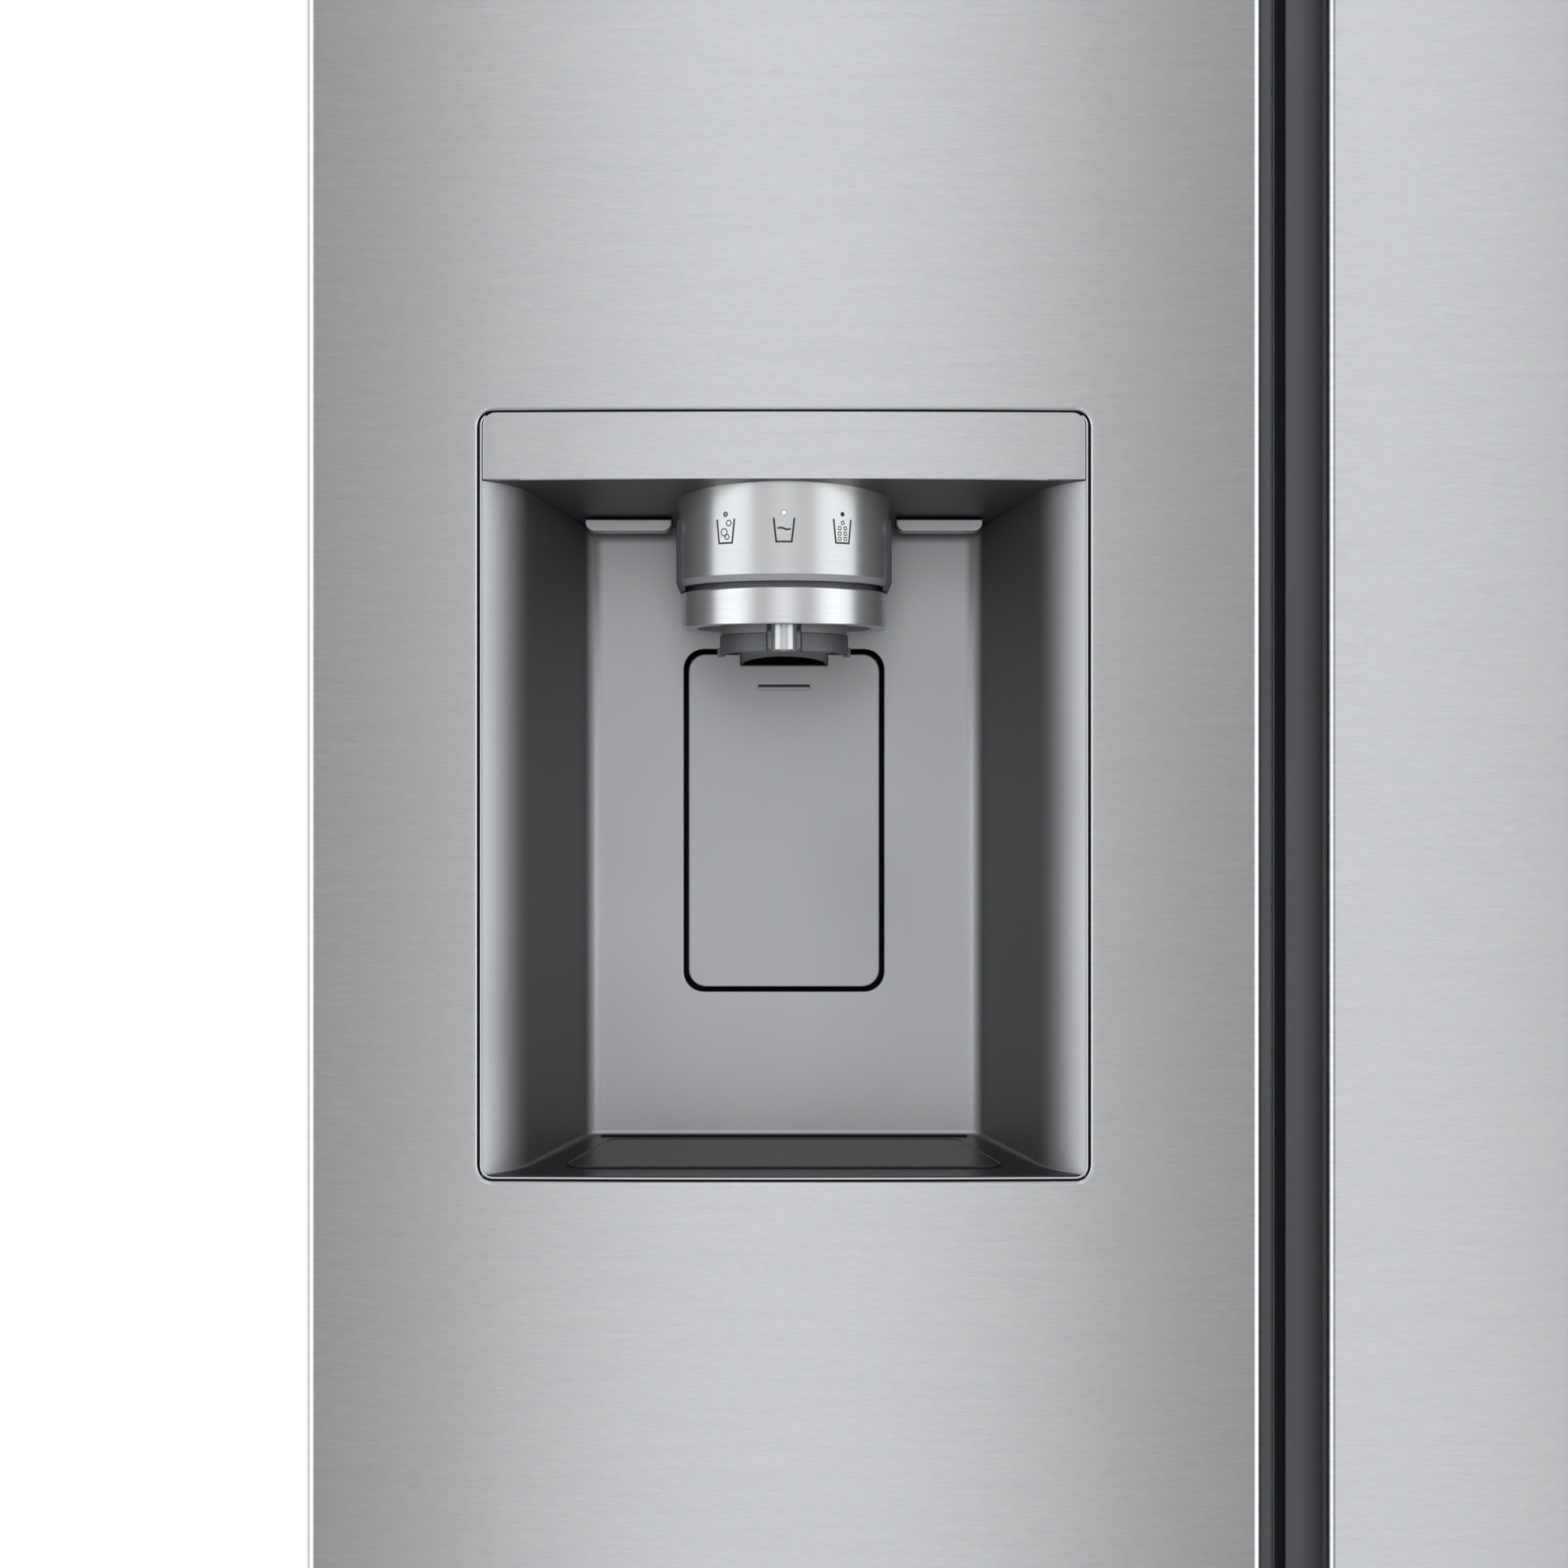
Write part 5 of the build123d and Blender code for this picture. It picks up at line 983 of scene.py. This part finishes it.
def iceMouth():
    f = mouth
    lo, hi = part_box("ice_funnel")
    radius, seam, ease, edge = f["radius"], f["seam"], f["ease"], f["edge"]
    bore, spread = radius - f["wall"], (hi.x - lo.x) / 2
    foot, plateZ = lo.z + f["rise"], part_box("nozzle_ring")[0].z + f["plateLift"]
    plateTop, bandFoot, bandTop = plateZ + f["plateThickness"], plateZ + f["collarGap"], seam - f["collarGap"]
    tube = [(bore, seam), (bore, foot + ease), (bore + ease, foot), (radius - edge, foot),
            (radius, foot + edge), (radius, seam - ease), (radius - ease, seam)]
    outer = radius - f["collarInset"]
    band = [(bore, bandFoot), (bore, bandTop), (outer, bandTop), (outer, bandFoot)]
    neck = [(bore, plateTop), (bore, plateZ), (spread - f["plateEdge"], plateZ),
            (spread, plateZ + f["plateEdge"]), (spread, hi.z), (spread - f["neckWall"], hi.z),
            (spread - f["neckWall"], plateTop)]
    bm, collar = bmesh.new(), bmesh.new()
    gap = math.degrees(math.asin(f["gapHalf"] / radius))
    for start, end in ((gap, f["halfTurn"]), (-f["halfTurn"], -gap)):
        lathe(bm, lambda turn: tube, (middleX, nozzleY), start, end, 40)
        lathe(collar, lambda turn: band, (middleX, nozzleY), start, end, 40)
    lathe(bm, lambda turn: neck, (middleX, nozzleY), 0, 360, 120)
    addPiece("mouth_collar", collar, shieldAbs, "freezer_door")
    for side in (-1, 1):
        at = middleX + side * (radius - f["lugInset"])
        low, high = ((at + end * f["lugHalf"], nozzleY + depth, foot + height)
                     for end, depth, height in zip((-1, 1), f["lugDepths"], f["lugHeights"]))
        roundedBox(bm, low, high, f["lugEdge"])
    addPiece("ice_mouth", bm, nozzlePlastic, "freezer_door", ["ice_funnel"])


spout = {"radius": 5.4 * mm, "wall": 1.4 * mm, "forward": 28.3 * mm, "ease": 0.2 * mm, "edge": 0.4 * mm}


def waterTube():
    lo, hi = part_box("water_nozzle")
    radius, ease, edge = spout["radius"], spout["ease"], spout["edge"]
    bore = radius - spout["wall"]
    section = [(bore, hi.z), (bore, lo.z + ease), (bore + ease, lo.z), (radius - edge, lo.z),
               (radius, lo.z + edge), (radius, hi.z)]
    bm = bmesh.new()
    lathe(bm, lambda turn: section, (middleX, nozzleY - spout["forward"]), 0, 360, 48)
    addPiece("water_tube", bm, chrome, "freezer_door", ["water_nozzle"])


nozzleCover()
nozzleRing()
iceMouth()
waterTube()
print("nozzle made")


# Lamp bars under the ceiling, and the drip tray on the floor

lampBar = {
    "near": 48.6 * mm, "far": 86 * mm, "low": 1215.4 * mm, "high": 1220.4 * mm,
    "corner": 3.2 * mm, "edge": 0.5 * mm,
}


def lampBars():
    f = lampBar
    lo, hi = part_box("dispenser_lamps")
    bm = bmesh.new()
    for side in (-1, 1):
        ends = sorted((middleX + side * f["near"], middleX + side * f["far"]))
        centre, half = sum(ends) / 2, (ends[1] - ends[0]) / 2 - f["edge"]
        xs = sorted(cornerColumns(centre, half, f["corner"]))
        spans = [(f["low"] + f["edge"] + cornerDrop(abs(x - centre) - (half - f["corner"]), f["corner"]),
                  f["high"] - f["edge"]) for x in xs]
        plate(bm, [(x, lo.y) for x in xs], spans, f["edge"], hi.y - lo.y)
    addPiece("lamp_bars", bm, lampLens, "freezer_door", ["dispenser_lamps"])


tray = {
    "depths": (19 * mm, 85 * mm), "halves": (93.6 * mm, 76.4 * mm), "corner": 8 * mm,
    "foot": 0.2 * mm, "top": 0.8 * mm, "bed": 0.45 * mm, "rim": 1.2 * mm, "edge": 0.25 * mm,
    "bedSlope": 0.2 * mm, "apron": 4 * mm,
}


def dripTray():
    f = tray
    ends = list(zip(f["halves"], f["depths"]))
    corners = [(-1, ends[0]), (1, ends[0]), (1, ends[1]), (-1, ends[1])]
    plan = roundCorners([Vector((middleX + side * half, doorLo.y + depth))
                         for side, (half, depth) in corners], f["corner"])
    normals = loopNormals(plan)
    rings = [(0, f["foot"]), (0, f["top"] - f["edge"]), (f["edge"], f["top"]),
             (f["rim"] - f["edge"], f["top"]), (f["rim"], f["top"] - f["edge"]),
             (f["rim"] + f["bedSlope"], f["bed"]), (f["apron"], f["bed"])]
    bm = bmesh.new()
    rows = []
    for inset, height in rings:
        places = [p + n * inset for p, n in zip(plan, normals)]
        rows.append(makeRow(bm, [(p.x, p.y, slopeZ("floor", p.y) + height) for p in places]))
    closeRows(bm, rows)
    addPiece("drip_tray_dish", bm, trayPlastic, "drip_tray_body", ["drip_tray"])


lampBars()
dripTray()
print("lamps and tray made")


# Printed marks on the nozzle cover: three tumblers, each under its lamp dot

marks = {
    "spacing": 25.6 * mm, "foot": 1204.7 * mm, "height": 9.9 * mm, "topHalf": 4.3 * mm, "footHalf": 3.2 * mm,
    "line": 0.75 * mm, "fine": 0.48 * mm, "lift": 0.06 * mm,
    "dotLift": 0.04 * mm, "dotHeight": 1216.6 * mm, "dotRadius": 1.0 * mm, "dotLine": 0.3 * mm,
    "waveHalf": 2.7 * mm, "waveRise": 5.4 * mm, "waveSwing": 0.4 * mm, "chipRadius": 0.9 * mm,
    # in millimetres across and up from the middle of the tumbler's foot: cubes with their half width, and
    # chips of crushed ice with their turn in degrees
    "cubes": ((-0.7, 4.5, 1.6), (1.6, 8.2, 1.25), (0.7, 2.5, 1.1)),
    "chips": ((-1.4, 1.7, 44), (1.4, 1.7, 47), (-1.4, 3.9, 43), (1.4, 3.9, 48), (-1.4, 6.1, 38),
              (1.4, 6.1, 60), (0.1, 8.4, 68)),
}


def onCover(along, z, lift=marks["lift"]):
    turn = along / nozzleRadius
    reach = nozzleRadius + lift
    return middleX + reach * math.sin(turn), nozzleY - reach * math.cos(turn), z


def printLine(bm, points, width, closed=False):
    flat = [Vector(p) for p in points]
    count = len(flat)
    rows = [[], []]
    for i, p in enumerate(flat):
        before = flat[i - 1] if i or closed else flat[i]
        after = flat[(i + 1) % count] if closed or i < count - 1 else flat[i]
        along = (after - before).normalized()
        side = Vector((-along.y, along.x)) * width / 2
        rows[0].append(bm.verts.new(onCover(*(p - side))))
        rows[1].append(bm.verts.new(onCover(*(p + side))))
    strip(bm, rows, closed=closed)


def splitLine(start, end, pieces):
    return [(start[0] + (end[0] - start[0]) * k / pieces, start[1] + (end[1] - start[1]) * k / pieces)
            for k in range(pieces + 1)]


def tumbler(bm, at):
    f = marks
    foot, rim = f["foot"], f["foot"] + f["height"]
    printLine(bm, splitLine((at - f["topHalf"], rim), (at - f["footHalf"], foot), 4), f["line"])
    reach = f["footHalf"] + f["line"] / 2
    printLine(bm, splitLine((at - reach, foot), (at + reach, foot), 4), f["line"])
    printLine(bm, splitLine((at + f["footHalf"], foot), (at + f["topHalf"], rim), 4), f["line"])


def outline(bm, at, z, radius, sides, turn):
    angles = [math.radians(turn + 360 * k / sides) for k in range(sides)]
    corners = [(at + radius * math.cos(a), z + radius * math.sin(a)) for a in angles]
    printLine(bm, corners, marks["fine"], closed=True)


def printedMarks():
    f = marks
    bm = bmesh.new()
    for k in (-1, 0, 1):
        tumbler(bm, k * f["spacing"])
    for across, up, half in f["cubes"]:
        outline(bm, -f["spacing"] + across * mm, f["foot"] + up * mm, half * mm, 6, 0)
    wave = [(f["waveHalf"] * k / 8, f["foot"] + f["waveRise"] - f["waveSwing"] * math.sin(math.pi * k / 8))
            for k in range(-8, 9)]
    printLine(bm, wave, f["line"])
    for across, up, turn in f["chips"]:
        outline(bm, f["spacing"] + across * mm, f["foot"] + up * mm, f["chipRadius"], 4, turn)
    turns = [2 * math.pi * n / 20 for n in range(20)]
    ring = [(f["dotRadius"] * math.cos(t), f["dotRadius"] * math.sin(t)) for t in turns]
    for k in (-1, 0):
        printLine(bm, [(k * f["spacing"] + x, f["dotHeight"] + z) for x, z in ring], f["dotLine"],
                  closed=True)
    addPiece("cover_marks", bm, markInk, "freezer_door")
    for k, finish, name in ((-1, greyInk, "left"), (0, litDot, "middle"), (1, markInk, "right")):
        bm = bmesh.new()
        bm.faces.new([bm.verts.new(onCover(k * f["spacing"] + x, f["dotHeight"] + z, f["dotLift"]))
                      for x, z in ring])
        addPiece(name + "_lamp_dot", bm, finish, "freezer_door").visible_diffuse = False


printedMarks()
print("marks printed")


# Every other node keeps its shape: a copy with merged corners, eased edges and a smooth finish

dressing = {"flatAngle": 0.5, "sharpAngle": 40, "smoothAngle": 32}


def dress(node, finish, ease):
    source = frame["nodes"][node]
    bm = bmesh.new()
    bm.from_mesh(source.data)
    bmesh.ops.remove_doubles(bm, verts=bm.verts, dist=mergeDistance)
    bmesh.ops.dissolve_limit(bm, angle_limit=math.radians(dressing["flatAngle"]), verts=bm.verts,
                             edges=bm.edges)
    if ease:
        sharp = math.radians(dressing["sharpAngle"])
        edges = [e for e in bm.edges if e.is_manifold and e.calc_face_angle() > sharp]
        bmesh.ops.bevel(bm, geom=edges, offset=ease, segments=2, profile=0.5, affect="EDGES",
                        clamp_overlap=True)
    addPiece(node + "_finished", bm, finish, source["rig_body"], [node], dressing["smoothAngle"])


# Finish, slot, and nodes with the size of their eased edges in millimetres
dressed = (
    (casePaint, "case_paint", {"outer_wrapper": 0.4}),
    (zinc, "zinc_steel", {
        "back_panel": 0.3, "machine_cover": 0.3, "base_frame": 0.3, "top_hinges": 0.5, "bottom_hinges": 0.5,
        "roller_axles": 0.3}),
    (darkPlastic, "dark_plastic", {
        "hinge_covers": 0.4, "toe_grille": 0.4, "freezer_door_caps": 0.6, "fridge_door_caps": 0.6,
        "freezer_handle": 0.5, "fridge_handle": 0.5, "power_inlet": 0.4, "left_levelling_leg": 0.3,
        "right_levelling_leg": 0.3}),
    (linerPlastic, "liner_white", {
        "freezer_liner": 0.8, "fridge_liner": 0.8, "freezer_door_liner": 1.2, "fridge_door_liner": 1.2,
        "evaporator_cover": 0.5}),
    (gasketVinyl, "gasket_rubber", {"freezer_door_gasket": 1.2, "fridge_door_gasket": 1.2}),
    (clearPlastic, "clear_plastic", {
        "freezer_door_bins": 0.5, "fridge_door_bins": 0.5, "freezer_drawer_lower": 0.6,
        "freezer_drawer_upper": 0.6, "crisper_lower": 0.6, "crisper_upper": 0.6}),
    (shelfGlass, "shelf_glass", {"freezer_shelves": 0.6, "fridge_shelves": 0.6}),
    (icePlastic, "ice_plastic", {"ice_bin": 0.6, "ice_maker": 0.6, "ice_chute": 0.4}),
    (nozzlePlastic, "nozzle_plastic", {"ice_flap": 0.3}),
    (darkMetal, "zinc_steel", {"ice_auger": 0.4}),
    (finMetal, "coil_aluminium", {"evaporator_coil": 0.0}),
    (copperTube, "copper", {"condenser_coil": 0.0}),
    (fanPlastic, "fan_plastic", {"evaporator_fan": 0.3, "condenser_fan": 0.3, "condenser_fan_shroud": 0.4}),
    (enamel, "black_enamel", {"compressor": 0.0}),
    (roomLens, "lamp_lens", {"cabinet_lamps": 0.8}),
    (trimPlastic, "fan_plastic", {"water_inlet": 0.4}),
    (wheelNylon, "wheel_plastic", {"left_roller": 0.4, "right_roller": 0.4}),
)
for finish, slotName, eases in dressed:
    for node, ease in eases.items():
        dress(node, finish, ease * mm)
for node in ("cabinet_foam", "freezer_door_foam", "fridge_door_foam"):
    frame["nodes"][node].data.materials.clear()
    frame["nodes"][node].data.materials.append(foamCore)
print("nodes dressed:", sum(len(eases) for finish, slotName, eases in dressed))


# Screws, fins, trims and beads, each a unit repeated in rows

screw = {
    "radius": 3.6 * mm, "topRadius": 2.592 * mm, "height": 2 * mm,
    "barHalf": 2.16 * mm, "barWidth": 0.9 * mm, "barRoot": 0.3 * mm, "barRise": 0.15 * mm,
    "barEdge": 0.1 * mm,
}


def screwHead(bm):
    # Round head with a raised bar across it, its top facing +Z.
    f = screw
    bmesh.ops.create_circle(bm, cap_ends=True, segments=20, radius=f["radius"])
    top = bmesh.ops.extrude_face_region(bm, geom=list(bm.faces))["geom"]
    taper = f["topRadius"] / f["radius"]
    for v in (v for v in top if isinstance(v, bmesh.types.BMVert)):
        v.co = Vector((v.co.x * taper, v.co.y * taper, f["height"]))
    roundedBox(bm, (-f["barHalf"], -f["barWidth"] / 2, f["height"] - f["barRoot"]),
               (f["barHalf"], f["barWidth"] / 2, f["height"] + f["barRise"]), f["barEdge"], 1)
    bmesh.ops.recalc_face_normals(bm, faces=bm.faces)


def screwRows(name, start, step, count, crossStep, crossCount):
    bm = bmesh.new()
    screwHead(bm)
    bmesh.ops.rotate(bm, verts=bm.verts, matrix=Matrix.Rotation(math.radians(-90), 3, "X"))
    addPiece(name, bm, darkMetal, "cabinet", rows={
        "Start": start, "Step": step, "Count": count, "Cross Step": crossStep, "Cross Count": crossCount,
        "Turn": (0, math.pi, 0)})


def barRows(name, finish, lo, hi, edge, step, count):
    # Corners, edge and step in millimetres.
    bm = bmesh.new()
    roundedBox(bm, [c * mm for c in lo], [c * mm for c in hi], edge * mm, 2)
    addPiece(name, bm, finish, "cabinet", rows={
        "Start": (0, 0, 0), "Step": [c * mm for c in step], "Count": count, "Cross Step": (0, 0, 0),
        "Cross Count": 1, "Turn": (0, 0, 0)})


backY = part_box("back_panel")[1].y
screwRows("panel_screws", start=(-445 * mm, backY, 290 * mm), step=(0, 0, 130 * mm), count=12,
          crossStep=(890 * mm, 0, 0), crossCount=2)
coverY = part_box("machine_cover")[1].y
screwRows("cover_screws", start=(-440 * mm, coverY, 54 * mm), step=(110 * mm, 0, 0), count=9,
          crossStep=(0, 0, 196 * mm), crossCount=2)
barRows("panel_beads", zinc, lo=(-350, backY / mm - 2, 395), hi=(350, backY / mm + 2, 405),
        edge=1.9, step=(0, 0, 150), count=9)
barRows("evaporator_fins", finMetal, lo=(-319.2, 313, 340), hi=(-318.8, 344, 860),
        edge=0.1, step=(10, 0, 0), count=17)
barRows("condenser_fins", finMetal, lo=(164.8, 282, 66), hi=(165.2, 318, 238),
        edge=0.1, step=(10, 0, 0), count=18)
for room, low, step, count in (("fridge", 480, 240, 5), ("freezer", 480, 210, 4)):
    lo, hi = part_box(room + "_shelves")
    barRows(room + "_shelf_trims", trimPlastic, lo=(lo.x / mm + 3, lo.y / mm - 8, low - 4),
            hi=(hi.x / mm - 3, lo.y / mm, low + 8), edge=1.5, step=(0, 0, step), count=count)
print("rows of screws, beads, fins and trims made")


# Studio, in metres: pale floor, soft lamps all round, white background, grey flags beside the camera

studio = {
    "floorRadius": 9.0, "floorColour": "#e9e9e8", "fadeFrom": 1.5, "fadeTo": 3.2,
    "ambient": 0.05, "aim": (0, 0, 0.95),
    "flagY": -4.6, "flagHalf": 4.6, "flagLow": -6.0, "flagHigh": 8.0, "flagPower": 1.40,
    # distance from the middle of the flags, level of the flags, level of the clear band at nozzle height
    "flagLevels": ((0.0, 1.0, 0.48), (0.45, 1.0, 0.48), (0.8, 0.80, 0.48), (1.15, 0.42, 0.50),
                   (1.5, 0.17, 0.54), (1.9, 0.05, 0.58), (2.6, 0.05, 0.60), (3.2, 0.5, 0.85),
                   (3.7, 0.9, 0.9), (4.6, 0.9, 0.9)),
    "bandHeight": 1.6, "bandHalf": 0.45, "bandSoft": 0.3, "lowFrom": -1.8, "lowTo": -2.6, "lowLevel": 0.3,
    # power at the band's height and away from it
    "sidePowers": (1.2, 2.2), "topPowers": (1.45, 1.45), "sideBack": -0.5, "topBack": 0.5,
    "lamps": (
        ("frontLamp", (-0.26, -5.2, 2.35), (1.6, 2.8), 0.80), ("leftLamp", (-4.2, 0.9, 1.8), (2.6, 2.6), 0.6),
        ("rightLamp", (4.2, 0.9, 1.8), (2.6, 2.6), 0.6), ("backLamp", (0.0, 4.4, 1.8), (2.6, 2.6), 0.6),
        ("topLamp", (0.0, 0.6, 4.6), (2.6, 2.6), 0.5),
    ),
}


def backgroundRays(tree):
    # One where the camera, a mirror or clear plastic looks at the background.
    path = addNode(tree, "ShaderNodeLightPath")
    kinds = [path.outputs[n] for n in ("Is Camera Ray", "Is Glossy Ray", "Is Transmission Ray")]
    first = addNode(tree, "ShaderNodeMath", {"operation": "MAXIMUM"}, links={0: kinds[0], 1: kinds[1]})
    return addNode(tree, "ShaderNodeMath", {"operation": "MAXIMUM"},
                   links={0: first.outputs[0], 1: kinds[2]}).outputs[0]


def studioWorld():
    world = bpy.data.worlds.new("studio")
    world.use_nodes = True
    tree = world.node_tree
    tree.nodes.clear()
    strength = addNode(tree, "ShaderNodeMapRange", values=between((studio["ambient"], 1.0)),
                       links={"Value": backgroundRays(tree)})
    sky = addNode(tree, "ShaderNodeBackground", values={"Color": (1, 1, 1, 1)},
                  links={"Strength": strength.outputs[0]})
    addNode(tree, "ShaderNodeOutputWorld", links={"Surface": sky.outputs[0]})
    scene.world = world


def studioLamps():
    aim = Vector(studio["aim"])
    for name, place, size, level in studio["lamps"]:
        lamp = bpy.data.lights.new(name, "AREA")
        lamp.shape = "RECTANGLE"
        lamp.size, lamp.size_y = size
        distance = (Vector(place) - aim).length
        lamp.energy = level * math.pi ** 2 * distance ** 2  # level 1 lights a facing white card to white
        holder = bpy.data.objects.new(name, lamp)
        holder.location = place
        holder.rotation_euler = (aim - Vector(place)).to_track_quat("-Z", "Y").to_euler()
        holder.visible_camera = False
        holder.visible_glossy = False
        scene.collection.objects.link(holder)


def studioFloor():
    f = studio
    material, tree, place = startFinish("paleStudioFloor")
    distance = addNode(tree, "ShaderNodeVectorMath", {"operation": "LENGTH"}, links={0: place})
    fade = addNode(tree, "ShaderNodeMapRange", {"interpolation_type": "SMOOTHSTEP"},
                   {"From Min": f["fadeFrom"], "From Max": f["fadeTo"]},
                   {"Value": distance.outputs["Value"]})
    share = addNode(tree, "ShaderNodeMath", {"operation": "MULTIPLY"},
                    links={0: fade.outputs[0], 1: backgroundRays(tree)})
    matt = addNode(tree, "ShaderNodeBsdfDiffuse", values={"Color": linear(f["floorColour"])})
    white = addNode(tree, "ShaderNodeEmission", values={"Color": (1, 1, 1, 1), "Strength": 1.0})
    blend = addNode(tree, "ShaderNodeMixShader", links={0: share.outputs[0], 1: matt.outputs[0],
                                                        2: white.outputs[0]})
    addNode(tree, "ShaderNodeOutputMaterial", links={"Surface": blend.outputs[0]})
    bm = bmesh.new()
    bmesh.ops.create_circle(bm, cap_ends=True, segments=96, radius=f["floorRadius"])
    addStage("studio_floor", bm, material, ["glossy"])


def outsideBand(tree, height):
    # Zero in the clear band at the nozzle's height, one well above and below it.
    f = studio
    rise = addNode(tree, "ShaderNodeMath", {"operation": "SUBTRACT"}, {1: f["bandHeight"]}, {0: height})
    away = addNode(tree, "ShaderNodeMath", {"operation": "ABSOLUTE"}, links={0: rise.outputs[0]})
    return addNode(tree, "ShaderNodeMapRange", {"interpolation_type": "SMOOTHSTEP"},
                   {"From Min": f["bandHalf"], "From Max": f["bandHalf"] + f["bandSoft"]},
                   {"Value": away.outputs[0]}).outputs[0]


def studioFlags():
    # A soft grey flag each side of the camera darkens the door's reflection towards its edges. A clear band
    # at the nozzle's height leaves the round chrome bright.
    f = studio
    material, tree, place = startFinish("softGreyFlags")
    axes = addNode(tree, "ShaderNodeSeparateXYZ", links={"Vector": place})
    away = addNode(tree, "ShaderNodeMath", {"operation": "SUBTRACT"}, {1: middleX}, {0: axes.outputs[0]})
    away = addNode(tree, "ShaderNodeMath", {"operation": "ABSOLUTE"}, links={0: away.outputs[0]})
    share = addNode(tree, "ShaderNodeMapRange", values={"From Max": f["flagHalf"]},
                    links={"Value": away.outputs[0]})
    levels = []
    for column in (1, 2):
        ramp = addNode(tree, "ShaderNodeValToRGB", links={"Fac": share.outputs[0]})
        stops = ramp.color_ramp.elements
        stops.remove(stops[1])
        for k, stop in enumerate(f["flagLevels"]):
            at = stop[0] / f["flagHalf"]
            element = stops.new(at) if k else stops[0]
            element.position = at
            element.color = (stop[column],) * 3 + (1,)
        levels.append(ramp.outputs[0])
    blend = addNode(tree, "ShaderNodeMix", {"data_type": "RGBA"},
                    links={0: outsideBand(tree, axes.outputs[2]), firstColour: levels[1],
                           secondColour: levels[0]})
    low = addNode(tree, "ShaderNodeMapRange", {"interpolation_type": "SMOOTHSTEP"},
                  {"From Min": f["lowFrom"], "From Max": f["lowTo"]}, {"Value": axes.outputs[2]})
    shade = addNode(tree, "ShaderNodeMix", {"data_type": "RGBA"},
                    {secondColour: (f["lowLevel"],) * 3 + (1,)},
                    {0: low.outputs[0], firstColour: blend.outputs[mixedColour]})
    glow = addNode(tree, "ShaderNodeEmission", values={"Strength": f["flagPower"]},
                   links={"Color": shade.outputs[mixedColour]})
    addNode(tree, "ShaderNodeOutputMaterial", links={"Surface": glow.outputs[0]})
    left, right, y = middleX - f["flagHalf"], middleX + f["flagHalf"], f["flagY"]
    stagePlanes("studio_flags", material, [[(left, y, f["flagLow"]), (right, y, f["flagLow"]),
                                            (right, y, f["flagHigh"]), (left, y, f["flagHigh"])]])


def studioCards():
    # White cards at both sides of the camera and above it, seen only as bright lines on rolled edges and
    # chrome. The side cards are dimmer at the nozzle's height.
    f = studio
    left, right = middleX - f["flagHalf"], middleX + f["flagHalf"]
    front, low, high = f["flagY"], f["flagLow"], f["flagHigh"]
    sides = [[(x, front, low), (x, f["sideBack"], low), (x, f["sideBack"], high), (x, front, high)]
             for x in (left, right)]
    top = [[(left, front, high), (right, front, high), (right, f["topBack"], high),
            (left, f["topBack"], high)]]
    for name, planes, powers in (("side", sides, f["sidePowers"]), ("top", top, f["topPowers"])):
        material, tree, place = startFinish(name + "WhiteCards")
        axes = addNode(tree, "ShaderNodeSeparateXYZ", links={"Vector": place})
        power = addNode(tree, "ShaderNodeMapRange", values=between(powers),
                        links={"Value": outsideBand(tree, axes.outputs[2])})
        glow = addNode(tree, "ShaderNodeEmission", links={"Strength": power.outputs[0]})
        addNode(tree, "ShaderNodeOutputMaterial", links={"Surface": glow.outputs[0]})
        stagePlanes("studio_" + name + "_cards", material, planes)


def stagePlanes(name, material, planes):
    # Planes that only reflections see.
    bm = bmesh.new()
    for corners in planes:
        bm.faces.new(makeRow(bm, corners))
    addStage(name, bm, material, ["camera", "diffuse", "shadow", "transmission", "volume_scatter"])


def addStage(name, bm, material, unseen):
    mesh = bpy.data.meshes.new(name)
    bm.to_mesh(mesh)
    bm.free()
    mesh.materials.append(material)
    stage = bpy.data.objects.new(name, mesh)
    for ray in unseen:
        setattr(stage, "visible_" + ray, False)
    scene.collection.objects.link(stage)


studioWorld()
studioLamps()
studioFloor()
studioFlags()
studioCards()
print("studio ready")
